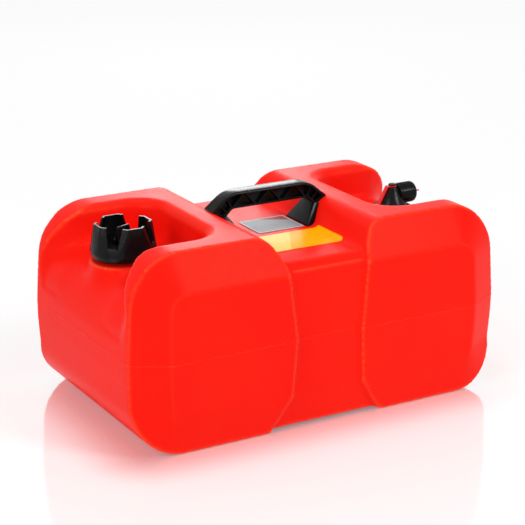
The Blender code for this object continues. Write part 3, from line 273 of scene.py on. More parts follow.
def gripShare(across, up, count):  # how far through its own grip a point is, from 0 to 1
    step = math.tau / count
    return math.atan2(up, across) % step / step


def place(piece, body, slot, node, angle=35):  # shading, finish, and what it stands for
    activate(piece)
    bpy.ops.object.shade_smooth_by_angle(angle=math.radians(angle))
    piece.data.materials.clear()
    piece.data.materials.append(looks[slot])
    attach(piece, body)
    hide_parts(node)
    print(piece.name, len(piece.data.polygons), "faces")


# Materials

def sums(operation):  # a sum and its reflected form, as Math nodes
    def added(first, second):
        look = first.look if isinstance(first, Wire) else second.look
        return look.node("ShaderNodeMath", {"operation": operation}, {0: first, 1: second})
    return added, lambda first, second: added(second, first)


class Wire:  # a socket that can be added, taken away and multiplied
    __add__, __radd__ = sums("ADD")
    __sub__, __rsub__ = sums("SUBTRACT")
    __mul__, __rmul__ = sums("MULTIPLY")

    def __init__(self, look, socket):
        self.look = look
        self.socket = socket

    def below(self, edge, soft=0.0004):  # 1 below the edge, 0 above it
        return self.look.between(self, edge + soft, edge - soft)

    def above(self, edge, soft=0.0004):
        return self.look.between(self, edge - soft, edge + soft)


class Look:
    def __init__(self, name, colour, **constants):
        self.material = bpy.data.materials.new(name)
        self.material.use_nodes = True
        self.material.diffuse_color = (*colour, 1)
        self.nodes = self.material.node_tree.nodes
        self.links = self.material.node_tree.links
        self.shader = self.nodes["Principled BSDF"]
        self.feed("Base Color", (*colour, 1))
        for socket, value in constants.items():
            self.feed(socket, value)
        self.coords = self.node("ShaderNodeTexCoord", {}, {}, "Object")

    def put(self, socket, value):
        if isinstance(value, Wire):
            self.links.new(value.socket, socket)
        else:
            socket.default_value = value

    def node(self, kind, settings, values, output=0):
        made = self.nodes.new(kind)
        for name, value in settings.items():
            setattr(made, name, value)
        for name, value in values.items():
            self.put(made.inputs[name], value)
        return Wire(self, made.outputs[output])

    def feed(self, socket, value):
        self.put(self.shader.inputs[socket], value)

    def noise(self, scale, detail, roughness=0.5, vector=None):
        return self.node("ShaderNodeTexNoise", {}, {"Vector": vector or self.coords, "Scale": scale,
                                                    "Detail": detail, "Roughness": roughness})

    def vector(self, operation, *values, output=0):
        return self.node("ShaderNodeVectorMath", {"operation": operation}, dict(enumerate(values)), output)

    def between(self, value, low, high):
        return self.node("ShaderNodeMapRange", {"interpolation_type": "SMOOTHSTEP"},
                         {"Value": value, "From Min": low, "From Max": high})

    def axes(self):
        parts = self.nodes.new("ShaderNodeSeparateXYZ")
        self.put(parts.inputs[0], self.coords)
        return [Wire(self, output) for output in parts.outputs]

    def mix(self, share, first, second):
        made = self.nodes.new("ShaderNodeMix")
        made.data_type = "RGBA"
        self.put(made.inputs["Factor"], share)
        for slot, value in ((6, first), (7, second)):
            self.put(made.inputs[slot], value if isinstance(value, Wire) else (*value, 1))
        return Wire(self, made.outputs[2])

    def stretched(self, scale):
        return self.vector("MULTIPLY", self.coords, scale)

    def surface(self, colour, roughness, height, distance, strength):
        self.feed("Base Color", colour)
        self.feed("Roughness", roughness)
        self.feed("Normal", self.node("ShaderNodeBump", {}, {"Height": height, "Distance": distance,
                                                            "Strength": strength}))
        return self.material


redFinish = {
    "deep": (0.83, 0.0048, 0.0040), "light": (0.92, 0.0165, 0.0062), "roughness": (0.27, 0.14),
    "shine": 0.055, "tint": (1.0, 0.62, 0.40, 1), "orangePeel": (0.0005, 0.35),
    # the edge colour, with its reach and share, paints a highlight along rounded edges
    "edge": (0.96, 0.105, 0.036), "paintedGlowReach": (0.502, 0.565), "paintedGlowShare": 0.85,
}


def makeRedPlastic():  # blow-moulded polyethylene: faint flow clouds, a fine orange peel, and a painted highlight along rounded edges
    look = Look("redPlastic", redFinish["deep"],
                **{"IOR": 1.5, "Specular IOR Level": redFinish["shine"], "Specular Tint": redFinish["tint"]})
    clouds = look.noise(5.0, 3.0)
    flow = look.noise(16.0, 3.0, 0.6, look.stretched((1, 1, 0.25)))
    ground = look.mix(clouds * 0.6 + flow * 0.4, redFinish["deep"], redFinish["light"])
    bend = look.node("ShaderNodeNewGeometry", {}, {}, "Pointiness")
    edge = look.between(bend, *redFinish["paintedGlowReach"]) * redFinish["paintedGlowShare"]
    colour = look.mix(edge, ground, redFinish["edge"])  # painted highlight: a lighter orange glow of light through the wall, painted along rounded edges
    specks = look.noise(140.0, 2.0)
    smooth, spread = redFinish["roughness"]
    rough = look.between(flow * 0.5 + specks * 0.5, 0.1, 0.9) * spread + smooth
    peel = look.noise(210.0, 3.0, 0.55) * 0.35 + look.noise(26.0, 2.0)
    return look.surface(colour, rough, peel, *redFinish["orangePeel"])


blackFinish = {
    "deep": (0.0020, 0.0020, 0.0024), "light": (0.0060, 0.0058, 0.0064), "roughness": 0.10,
    "shine": 0.11, "bump": (0.00022, 0.6),
}


def makeBlackPlastic():  # injection moulded, with a satin grain
    look = Look("blackPlastic", blackFinish["deep"], **{"Specular IOR Level": blackFinish["shine"]})
    clouds = look.noise(60.0, 3.0)
    grain = look.noise(1500.0, 2.0, 0.6)
    colour = look.mix(clouds, blackFinish["deep"], blackFinish["light"])
    rough = clouds * 0.08 + grain * 0.06 + blackFinish["roughness"]
    return look.surface(colour, rough, grain * 0.5 + look.noise(330.0, 2.0), *blackFinish["bump"])


moulded = {  # dark, light, cloud scale, roughness and its spread, grain scale, bump, other sockets
    "blackRubber": ((0.010, 0.010, 0.010), (0.026, 0.026, 0.025), 220.0, (0.62, 0.2), 900.0, (0.0001, 0.6),
                    {}),
    "redVinyl": ((0.60, 0.005, 0.009), (0.74, 0.012, 0.014), 90.0, (0.12, 0.12), 420.0, (0.00015, 0.4),
                 {"Specular IOR Level": 0.3}),
    "whiteNylon": ((0.70, 0.68, 0.61), (0.80, 0.79, 0.74), 70.0, (0.34, 0.16), 800.0, (0.0001, 0.5),
                   {"Subsurface Weight": 0.1, "Subsurface Scale": 0.002}),
}


def makeMoulded(name):
    dark, light, scale, (smooth, spread), grain, bump, constants = moulded[name]
    look = Look(name, dark, **constants)
    clouds, pores = look.noise(scale, 3.0), look.noise(grain, 2.0)
    return look.surface(look.mix(clouds, dark, light), clouds * spread + smooth, pores, *bump)


metals = {  # dark, light, smoothest roughness, and how its fine lines are squeezed
    "brass": ((0.60, 0.40, 0.14), (0.78, 0.56, 0.26), 0.24, (2600, 60, 60)),
    "steel": ((0.50, 0.51, 0.52), (0.70, 0.71, 0.72), 0.22, (60, 60, 2400)),
}


def makeMetal(name):
    dark, light, smooth, squeeze = metals[name]
    look = Look(name, dark, Metallic=1.0)
    lines = look.noise(1.0, 3.0, 0.6, look.stretched(squeeze))
    return look.surface(look.mix(lines, dark, light), lines * 0.16 + smooth, lines, 0.00006, 0.6)


looks = {"red_plastic": makeRedPlastic(), "black_plastic": makeBlackPlastic()}  # the record's slots
blackRubber = makeMoulded("blackRubber")
looks["red_strap"] = makeMoulded("redVinyl")
brass = makeMetal("brass")
steel = makeMetal("steel")
whiteNylon = makeMoulded("whiteNylon")
print("materials ready")


# Camera, floor and light

photoView = {
    "eye": (-1.08925, -1.88079, 0.88128), "azimuth": -29.97, "elevation": 18.2, "roll": 0.19,
    "lens": 120.86, "sensor": 36.0,
}


def aimCamera():
    deselectAll()
    bpy.ops.object.camera_add(location=photoView["eye"])
    camera = bpy.context.object
    camera.name = "photoCamera"
    azimuth, elevation = math.radians(photoView["azimuth"]), math.radians(photoView["elevation"])
    back = Vector((math.sin(azimuth) * math.cos(elevation), -math.cos(azimuth) * math.cos(elevation),
                   math.sin(elevation)))
    right = Vector((0, 0, 1)).cross(back).normalized()
    turn = Matrix((right, back.cross(right), back)).transposed().to_4x4()
    turn = turn @ Matrix.Rotation(math.radians(photoView["roll"]), 4, "Z")
    camera.matrix_world = Matrix.Translation(photoView["eye"]) @ turn
    camera.data.lens = photoView["lens"]
    camera.data.sensor_width = photoView["sensor"]
    camera.data.clip_end = 50
    bpy.context.scene.camera = camera


studio = {
    "floor": 6.0, "fill": 0.42, "floorColour": (0.97, 0.97, 0.97), "floorGloss": 0.09,
    "foot": (0.24, 0.13, 0),  # half the object's foot, which the two reaches start from
    "mirror": (0.80, 0.15), "mirrorReach": 0.10,  # how metallic the floor is, close and far
    "lift": (0.20, 0.85), "liftReach": 0.60,  # how much of its own white the camera sees, close and far
    "aim": (0, 0, 0.12),
}


def layFloor():
    deselectAll()
    bpy.ops.mesh.primitive_plane_add(size=studio["floor"], location=(0, 0, 0))
    floor = bpy.context.object
    floor.name = "studioFloor"
    look = Look("paleFloor", studio["floorColour"], Roughness=studio["floorGloss"], IOR=1.45)
    camera = look.node("ShaderNodeLightPath", {}, {}, "Is Camera Ray")
    beside = look.vector("SUBTRACT", look.vector("ABSOLUTE", look.coords), studio["foot"])
    away = look.vector("LENGTH", look.vector("MAXIMUM", beside, (0, 0, 0)), output="Value")
    close, far = studio["mirror"]
    look.feed("Metallic", far + (close - far) * (1 - look.between(away, 0, studio["mirrorReach"])))
    close, far = studio["lift"]
    lift = camera * (close + (far - close) * look.between(away, 0, studio["liftReach"]))
    glow = look.node("ShaderNodeEmission", {}, {"Color": (1, 1, 1, 1), "Strength": 1.0})
    surface = Wire(look, look.shader.outputs[0])
    both = look.node("ShaderNodeMixShader", {}, {0: lift, 1: surface, 2: glow})
    look.links.new(both.socket, look.nodes["Material Output"].inputs["Surface"])
    floor.data.materials.append(look.material)


def lightWorld():  # the object is lit at the fill's level, and what sees the background sees white
    world = bpy.data.worlds.new("paleWorld")
    bpy.context.scene.world = world
    world.use_nodes = True
    nodes, links = world.node_tree.nodes, world.node_tree.links
    path = nodes.new("ShaderNodeLightPath")
    seen = path.outputs["Is Camera Ray"]
    for ray in ("Is Glossy Ray", "Is Transmission Ray"):
        either = nodes.new("ShaderNodeMath")
        either.operation = "MAXIMUM"
        links.new(seen, either.inputs[0])
        links.new(path.outputs[ray], either.inputs[1])
        seen = either.outputs[0]
    level = nodes.new("ShaderNodeMapRange")
    level.inputs["To Min"].default_value = studio["fill"]
    level.inputs["To Max"].default_value = 1.0
    links.new(seen, level.inputs["Value"])
    links.new(level.outputs[0], nodes["Background"].inputs["Strength"])
    nodes["Background"].inputs["Color"].default_value = (1, 1, 1, 1)


lamps = {  # name: place, size across, power
    "keySoftbox": ((1.1, -1.75, 1.7), 0.8, 29.0),
    "leftSoftbox": ((-1.9, -0.8, 1.3), 1.0, 21.0),
    "topSoftbox": ((-0.2, 0.3, 2.2), 1.1, 15.0),
    "backSoftbox": ((1.1, 2.2, 0.95), 0.6, 6.5),
}


def hangLamps():
    for name, (spot, size, power) in lamps.items():
        deselectAll()
        bpy.ops.object.light_add(type="AREA", location=spot)
        lamp = bpy.context.object
        lamp.name = name
        lamp.data.shape = "SQUARE"
        lamp.data.size = size
        lamp.data.energy = power
        aim = Vector(studio["aim"]) - Vector(spot)
        lamp.rotation_euler = aim.to_track_quat("-Z", "Y").to_euler()


aimCamera()
layFloor()
lightWorld()
hangLamps()
bpy.context.scene.view_settings.view_transform = "Standard"
print("studio ready")


# Red tank

tank = {
    "length": 0.530, "width": 0.324, "height": 0.249, "foot": 0.0002, "parting": 0.120,
    "topRadius": 0.065, "lowRadius": 0.060, "roundSteps": 14,
    "panelDepth": 0.026, "panelInset": 0.0456, "lowPanelDepth": 0.004,
    "draft": 0.044, "endCrease": 0.097, "lowEndDraft": 1.24, "wall": 0.004,
    "voxel": 0.0025, "smoothing": 6, "thin": 0.52, "turned": [("Y", 0.47), ("X", 0.31)],
    "insideVoxel": 0.006, "insideSmoothing": 4, "insideThin": 0.35, "bead": 0.0004, "beadHalf": 0.0014,
}
waist = {
    "recess": 0.0055, "groundGap": 0.0035, "lowLean": 0.004, "chamfer": 0.012, "blockHalf": 0.104,
    "foot": 0.080, "low": (0.050, 0.046), "middle": 0.0455, "top": (0.055, 0.206),
    "reach": 0.2, "under": 0.01, "over": 0.02,  # how far its cutter goes past the tank
}
valley = {
    "floor": 0.2155, "topHalf": 0.092, "angle": 60, "footRadius": 0.012, "topRadius": 0.028, "steps": 8,
    "filletDepth": 0.012, "filletEnd": 0.090, "filletInset": 0.005, "seatSteps": 10, "seatGap": 0.0003,
}
pocketCut = {
    "floor": 0.200, "inner": 0.121, "half": 0.091, "planRadius": 0.040, "planSteps": 10,
    "flareFrom": 0.222, "flare": 0.012, "flareSteps": 4, "foot": 0.014, "footSteps": 6,
    "lip": 0.012, "lipTurns": (18, 36, 54, 70, 82, 90), "growFrom": 0.1, "over": 0.02,
    "roll": 0.055, "rollSteps": 12, "rollLead": 0.012, "rollWall": 0.08, "recess": 0.003, "past": 0.0003,
    "recessLow": 0.138, "spread": 0.42, "spreadEnd": 0.82,
}
necks = {  # for each: x, the boss's top, the neck's top, turns of thread
    "filler": (-0.203, 0.205, 0.2182, 1.4), "pickup": (0.195, 0.2025, 0.2095, 0.5),
    "bossRadius": 0.0445, "bossDepth": 0.028, "bore": 0.0225, "boreReach": (0.24, 0.18), "outside": 0.0265,
    "root": 0.012, "rim": 0.0006, "boreRim": 0.0005, "steps": 64,
    "pitch": 0.006, "depth": 0.0019, "threadHalf": 0.0011, "crestHalf": 0.0005, "sunk": 0.0004,
}
blends = [  # past this x, between these y and these z, smoothed this often
    (0.226, (0.084, 0.134), (0.146, 0.232), 6),  # the pocket's flanks
    (0.215, (0, 0.066), (0.142, 0.2015), 90),  # under the boss
    (0.205, (0, 0.076), (0.135, 0.2035), 12),  # round it
]


def valleyCurve(steps, gap=0.0):  # from the valley's floor up to the lobe's top, right side
    angle = math.radians(valley["angle"])
    foot, top = valley["footRadius"], valley["topRadius"]
    rise = tank["height"] - valley["floor"] - (foot + top) * (1 - math.cos(angle))
    footX = valley["topHalf"] - (foot + top) * math.sin(angle) - rise / math.tan(angle)
    low = arc((footX, valley["floor"] + foot), foot - gap, -90, valley["angle"] - 90, steps)
    return low + arc((valley["topHalf"], tank["height"] - top), top + gap, 90 + valley["angle"], 90, steps)


def seatCurve():  # where the handle and the label rest, a hair off the wall
    return valleyCurve(valley["seatSteps"], valley["seatGap"])


def rowHeights(piece):
    return sorted({round(vert.co.z, 5) for vert in piece.data.vertices})


def lean(piece):  # every row drawn in, away from the parting line
    for height in rowHeights(piece):
        away = abs(height - tank["parting"])
        low = max(0, tank["endCrease"] - height) * tank["lowEndDraft"]
        endAway = away if height > tank["parting"] else low
        amount = (1 - tank["draft"] * endAway * 2 / tank["length"],
                  1 - tank["draft"] * away * 2 / tank["width"], 1)
        editMode(piece)
        pickRow(height)
        stretch(amount, (0, 0, height))
    objectMode()


def bodyBlock():
    ringY = tank["width"] / 2 - tank["panelDepth"]
    reach, top, low = tank["length"] / 2, tank["height"], tank["foot"]
    piece = addCube("redTank", (-reach, -ringY, low), (reach, ringY, top))
    for height, radius in ((top, tank["topRadius"]), (low, tank["lowRadius"])):
        editMode(piece)
        pick("EDGE", lambda edge: all(near(vert.co.z, height) for vert in edge.verts)
             and abs(edge.verts[0].co.y - edge.verts[1].co.y) > ringY)
        roundOff(radius, tank["roundSteps"])
    pick("FACE", lambda face: abs(face.normal.y) > 0.99)
    bpy.ops.mesh.inset(thickness=tank["panelInset"], depth=tank["panelDepth"], use_individual=True)
    objectMode()
    spread = tank["panelDepth"] - tank["lowPanelDepth"]
    for height in rowHeights(piece):
        if height < tank["lowRadius"] - 0.001:
            share = (tank["lowRadius"] - height) / tank["lowRadius"]
            for side in sides:
                editMode(piece)
                pick("VERT", lambda vert: near(vert.co.z, height, rowReach) and near(vert.co.y, side * ringY))
                bpy.ops.transform.translate(value=(0, side * spread * share, 0))
    editMode(piece)
    for height in (tank["endCrease"], tank["parting"]):
        sliceAt((0, 0, height), (0, 0, 1))
    objectMode()
    lean(piece)
    return piece


def waistSlab():  # what is cut away between the two lobes
    wall = valleyCurve(valley["steps"])[valley["steps"]:]
    half = [(waist["foot"], -waist["under"]), (waist["foot"], 0), waist["low"],
            (waist["middle"], tank["parting"]), waist["top"]]
    half += wall[:-1] + [(wall[-1][0], tank["height"] + waist["over"])]
    return slabY("waistSlab", mirrored(half), -waist["reach"], waist["reach"])


def waistBlock():
    side = tank["width"] / 2 - waist["recess"]
    half = [(side - waist["lowLean"], waist["groundGap"]), (side, waist["low"][1]), (side, waist["top"][1]),
            (side - waist["chamfer"], valley["floor"])]
    piece = slabX("waistBlock", mirrored(half), -waist["blockHalf"], waist["blockHalf"])
    editMode(piece)
    sliceAt((0, 0, tank["parting"]), (0, 0, 1))
    objectMode()
    lean(piece)
    return piece


def valleyFillet(side):
    curve = valleyCurve(valley["steps"])[:valley["steps"] + 1]
    low, end = curve[0][1] - valley["filletDepth"], valley["filletEnd"]
    outline = curve + [(end, curve[-1][1]), (end, low), (curve[0][0], low)]
    reach = tank["width"] / 2 - waist["recess"] - waist["chamfer"] - valley["filletInset"]
    return slabY("valleyFillet", [(side * x, z) for x, z in outline], -reach, reach)


def pocketCutter(side):
    inner, half, radius = pocketCut["inner"], pocketCut["half"], pocketCut["planRadius"]
    corner = arc((inner + radius, half - radius), radius, 90, 180, pocketCut["planSteps"])
    start, steps = pocketCut["flareFrom"], pocketCut["flareSteps"]
    run = tank["length"] / 2 - start
    flared = [(start + run * i / steps, half + pocketCut["flare"] * (i / steps) ** 2)
              for i in range(steps + 3)]
    upper = list(reversed(flared)) + corner
    plan = [(side * x, y) for x, y in upper + [(x, -y) for x, y in reversed(upper)]]
    lipLow = tank["height"] - pocketCut["lip"]
    piece = slabZ("pocketCutter", plan, pocketCut["floor"], lipLow)
    editMode(piece)
    pick("EDGE", lambda edge: all(near(vert.co.z, pocketCut["floor"]) for vert in edge.verts))
    roundOff(pocketCut["foot"], pocketCut["footSteps"])
    pick("FACE", lambda face: face.normal.z > 0.9 and face.calc_center_median().z > lipLow - 0.001)
    across = pocketCut["growFrom"]
    height, grown = lipLow, 0.0
    for turn in pocketCut["lipTurns"]:  # the lip rolls outwards
        nextHeight = lipLow + pocketCut["lip"] * math.sin(math.radians(turn))
        grow = pocketCut["lip"] * (1 - math.cos(math.radians(turn)))
        scale = ((across + grow) / (across + grown), (half + grow) / (half + grown), 1)
        extrude((0, 0, nextHeight - height))
        stretch(scale, (side * (inner + across), 0, 0))
        height, grown = nextHeight, grow
    extrude((0, 0, pocketCut["over"]))
    return cleanUp(piece)


def endRoll(side):  # the pocket's floor turning down into the end face, its walls parting as they go
    roll, floor, steps = pocketCut["roll"], pocketCut["floor"], pocketCut["rollSteps"]
    half, foot, lead = pocketCut["half"], pocketCut["foot"], pocketCut["rollLead"]
    centre = Vector((tank["length"] / 2 - pocketCut["recess"] - roll, 0, floor - roll))
    fillet = arc((half - foot, floor + foot), foot, -90, 0, 5)
    outline = mirrored(fillet + [(half, floor + pocketCut["rollWall"])])
    piece = drawLine("endRoll", [(centre.x - lead, y, z) for y, z in outline + outline[:1]], close=False)
    bpy.ops.mesh.remove_doubles(threshold=mergeReach)
    selectAll()
    extrude((lead, 0, 0))
    bpy.ops.mesh.spin(steps=steps, angle=-math.pi / 2, center=centre, axis=(0, 1, 0))
    drop = floor - roll - pocketCut["recessLow"]
    extrude((pocketCut["recess"] + pocketCut["past"], 0, -drop))
    for i in range(1, steps + 2):  # the last ring is the one that was drawn down
        turn = math.radians(90 - 90 / steps * i)

        def onRing(vert):
            away = vert.co - centre
            if i > steps:
                return away.z < -drop / 2
            return away.z > -drop / 2 and near(math.atan2(away.z, away.x), turn, 0.02)

        pick("VERT", onRing)
        share = smoothStep((90 - math.degrees(turn)) / 90 / pocketCut["spreadEnd"])
        stretch((1, 1 + pocketCut["spread"] * share, 1), centre)
    selectAll()
    bpy.ops.mesh.fill_holes(sides=0)
    if side < 0:
        selectAll()
        stretch((-1, 1, 1), (0, 0, 0))
    return cleanUp(piece)


def bossBlock(which):
    x, top, _, _ = necks[which]
    radius, foot = necks["bossRadius"], top - necks["bossDepth"]
    soft = top - pocketCut["floor"]
    crown = arc((radius - soft, top - soft), soft, 90, 0, 4)
    return spinZ("bossBlock", [(0, top)] + crown + [(radius, foot), (0, foot)], x, necks["steps"])


def neckPiece(which):  # the threaded tube that stands on the boss
    x, bossTop, top, turns = necks[which]
    outside, bore, rim, boreRim = [necks[part] for part in ("outside", "bore", "rim", "boreRim")]
    foot, steps = bossTop - necks["root"], necks["steps"]
    profile = [(bore, foot), (outside, foot), (outside, top - rim), (outside - rim, top),
               (bore + boreRim, top), (bore, top - boreRim)]
    piece = spinZ(which + "Neck", profile, x, steps)
    half, crest = necks["threadHalf"], necks["crestHalf"]
    start = top - 2 * half - necks["pitch"] * turns
    inner, outer = x + outside - necks["sunk"], x + outside + necks["depth"]
    ridge = drawLine("ridge", [(inner, 0, start - half), (outer, 0, start - crest),
                               (outer, 0, start + crest), (inner, 0, start + half)])
    for _ in range(round(steps * turns)):
        extrude((0, 0, necks["pitch"] / steps))
        bpy.ops.transform.rotate(value=math.tau / steps, orient_axis="Z", center_override=(x, 0, 0))
    cleanUp(ridge)
    return weld(piece, ridge, solver="MANIFOLD")


def blendEnds(piece):  # the pocket's flanks and the boss run smoothly into the end roll
    editMode(piece)
    for start, (inner, outer), (low, high), times in blends:
        pick("VERT", lambda vert: abs(vert.co.x) > start and inner <= abs(vert.co.y) < outer
             and low < vert.co.z < high)
        bpy.ops.mesh.vertices_smooth(factor=0.5, repeat=times)
    objectMode()


def melt(piece, voxel, rounds):  # one skin over all its parts, with every edge softened
    modify(piece, "REMESH", mode="VOXEL", voxel_size=voxel, adaptivity=0.0)
    modify(piece, "SMOOTH", factor=0.5, iterations=rounds)


def makeTank():
    piece = bodyBlock()
    carve(piece, waistSlab())
    for side in sides:
        carve(piece, pocketCutter(side))
        carve(piece, endRoll(side))
    joinUp(piece, waistBlock(), valleyFillet(-1), valleyFillet(1), bossBlock("filler"), bossBlock("pickup"))
    print("tank form", len(piece.data.polygons))
    for axis, angle in tank["turned"]:  # melted at a slant, so that no edge runs along the voxels
        turnAll(piece, angle, axis)
    melt(piece, tank["voxel"], tank["smoothing"])
    for axis, angle in reversed(tank["turned"]):
        turnAll(piece, -angle, axis)
    blendEnds(piece)
    modify(piece, "DECIMATE", ratio=tank["thin"])
    inside = copyOf(piece, "inside")
    modify(inside, "DISPLACE", strength=-tank["wall"], mid_level=0.0)
    melt(inside, tank["insideVoxel"], tank["insideSmoothing"])
    modify(inside, "DECIMATE", ratio=tank["insideThin"])
    editMode(piece)
    for height in (-tank["beadHalf"], 0, tank["beadHalf"]):
        sliceAt((0, 0, tank["parting"] + height), (0, 0, 1))
    pickRow(tank["parting"])
    bpy.ops.transform.shrink_fatten(value=tank["bead"])
    objectMode()
    carve(piece, inside, solver="MANIFOLD")
    for which in ("filler", "pickup"):
        bore = rodZ("bore", necks["bore"], *necks["boreReach"], necks[which][0], necks["steps"])
        carve(piece, bore, solver="MANIFOLD")
        weld(piece, neckPiece(which), solver="MANIFOLD")
    place(piece, "tank", "red_plastic", "tank_shell", angle=50)


makeTank()


# Carry handle

handle = {
    "top": 0.2705, "halfDepth": 0.011, "topHalf": 0.050, "shoulder": (0.064, 0.2665), "opening": 0.055,
    "under": 0.250, "tip": 0.084, "legInner": (0.065, 0.240), "cornerCut": (0.0075, 0.0065),
    "innerCut": 0.003, "topRound": 0.0028, "webHalf": 0.0015, "webOut": 0.02,
    "web": [(0.0562, 0.2524), (0.0676, 0.2428), (0.0722, 0.2448), (0.0776, 0.2488), (0.0612, 0.2640),
            (0.0492, 0.2676)],
    "rib": 0.0015, "ribInset": 0.0012, "pitch": 0.0367, "apex": 0.0006, "spread": 0.0160,
    "ribTop": 0.0022, "ribFoot": 0.0016,
    "endRibs": [((0.0555, 0.2512), (0.0630, 0.2655)), ((0.0620, 0.2450), (0.0735, 0.2570))],
    "footInner": (0.0465, 0.218), "footHalf": 0.027, "footTop": 0.55, "footLap": (0.005, 0.001, 0.002),
    "grooves": 6, "groovePitch": 0.0029, "grooveWidth": 0.0011, "grooveDepth": 0.0007,
    "grooveTip": 0.2482, "grooveEnds": (0.0060, 0.0015), "grooveOut": 0.004, "edge": 0.0005,
}


def rounding(before, corner, after, cut, steps=5):
    a, b, c = Vector(before), Vector(corner), Vector(after)
    start, end = b + (a - b).normalized() * cut, b + (c - b).normalized() * cut
    shares = [i / steps for i in range(steps + 1)]
    return [tuple(start.lerp(b, share).lerp(b.lerp(end, share), share)) for share in shares]


def handleArch():
    leg, under, half = handle["legInner"], handle["under"], handle["halfDepth"]
    curve = [point for point in seatCurve() if leg[1] < point[1]]
    wall = [point for point in curve if point[0] < handle["tip"] - 0.001]
    tip = (handle["tip"], min(z for x, z in curve if x > handle["tip"]))
    shoulder, top = handle["shoulder"], (handle["topHalf"], handle["top"])
    tipCut, topCut = handle["cornerCut"]
    outer = wall + [tip] + rounding(tip, shoulder, top, tipCut) + rounding(shoulder, top, (0, top[1]), topCut)
    inner = [leg] + rounding(leg, (handle["opening"], under), (0, under), handle["innerCut"], 3)
    outline = mirrored(outer) + [(-x, z) for x, z in inner] + list(reversed(inner))
    piece = slabY("carryHandle", outline, -half, half)
    editMode(piece)
    pick("EDGE", lambda edge: all(near(abs(vert.co.y), half) and vert.co.z > under + 0.0005
                                  and abs(vert.co.x) < handle["tip"] + 0.001 for vert in edge.verts)
         and edge.verts[0].co.y * edge.verts[1].co.y > 0
         and any(face.normal.z > 0.2 for face in edge.link_faces))
    roundOff(handle["topRound"], 4)
    return cleanUp(piece)


def webRecess(side):  # what is taken out of the front or the back, down to the web
    low, high = sorted((side * handle["webHalf"], side * handle["webOut"]))
    return slabY("webRecess", mirrored(handle["web"]), low, high)


def ribSlab(start, end, half):
    along = (Vector(end) - Vector(start)).normalized()
    aside = Vector((-along.y, along.x)) * handle["rib"] / 2
    corners = [Vector(start) - aside, Vector(start) + aside, Vector(end) + aside, Vector(end) - aside]
    return slabY("rib", [tuple(corner) for corner in corners], -half, half)


def handleRibs():
    high, low = handle["top"] - handle["ribTop"], handle["under"] + handle["ribFoot"]
    half = handle["halfDepth"] - handle["ribInset"]
    for bay in (-1, 0, 1):
        for side in sides:
            x = handle["pitch"] * bay
            yield ribSlab((x + side * handle["apex"], high), (x + side * handle["spread"], low), half)
    for side in sides:
        for start, end in handle["endRibs"]:
            yield ribSlab((side * start[0], start[1]), (side * end[0], end[1]), half)


def handleFoot(side):
    curve = seatCurve()
    inner, leg, low = handle["footInner"], handle["legInner"], curve[0][1]
    out, back, up = handle["footLap"]
    wall = [point for point in curve if inner[0] < point[0] and point[1] < leg[1]]
    outline = [(inner[0], low)] + wall + [(leg[0] + out, leg[1]), (leg[0] + out, leg[1] + up),
                                          (leg[0] - back, leg[1] + up), inner]
    piece = slabY("handleFoot", [(side * x, z) for x, z in outline], -handle["footHalf"], handle["footHalf"])
    for height in rowHeights(piece):
        share = min(1, (height - low) / (leg[1] - low))
        editMode(piece)
        pickRow(height)
        stretch((1, 1 - (1 - handle["footTop"]) * share, 1), (0, 0, 0))
    objectMode()
    return piece


def legGrooves():  # the fine ribs down the outside of each leg
    shoulder, tip = Vector(handle["shoulder"]), Vector((handle["tip"], handle["grooveTip"]))
    along = (tip - shoulder).normalized()
    outwards = Vector((-along.y, along.x))
    depth, out = outwards * handle["grooveDepth"], outwards * handle["grooveOut"]
    half = handle["grooveWidth"] / 2
    start, end = shoulder + along * handle["grooveEnds"][0], tip - along * handle["grooveEnds"][1]
    corners = [start - depth * 0.2, start + out, end + out, end - depth]
    for side in sides:
        first = slabY("groove", [(side * point.x, point.y) for point in corners], -half, half)
        for i in range(handle["grooves"]):
            shift = (i - (handle["grooves"] - 1) / 2) * handle["groovePitch"]
            yield moveAll(copyOf(first, "grooveCopy"), (0, shift, 0))
        bpy.data.objects.remove(first)


def makeHandle():
    piece = handleArch()
    carve(piece, webRecess(-1), webRecess(1))
    weld(piece, *handleRibs())
    weld(piece, handleFoot(-1), handleFoot(1))
    carve(piece, *legGrooves())
    cleanUp(piece)
    softenEdges(piece, handle["edge"], 2, 32)
    place(piece, "tank", "black_plastic", "carry_handle")


makeHandle()


# Filler cap and vent screw

cap = {
    "x": -0.203, "foot": (0.0355, 0.2085), "belly": [(0, 0), (0.0022, 0.0007), (0.0044, 0.0028)],
    "waist": (0.0415, 0.217), "waistRound": (0.0003, 0.0022), "rim": (0.0365, 0.252), "over": 0.01,
    "deck": (0.2235, 0.2261), "wall": 0.0026, "narrow": 15, "wide": 30, "edge": 0.0005,
    "slotFoot": 0.0068, "slotRim": 0.01045, "slotFloor": 0.2268, "slotCorner": 0.003,
    "slotReach": (0.018, 0.055), "bore": 0.0309, "boreLow": 0.20,
    "ventHole": 0.0045, "ventReach": (0.23, 0.22),
}


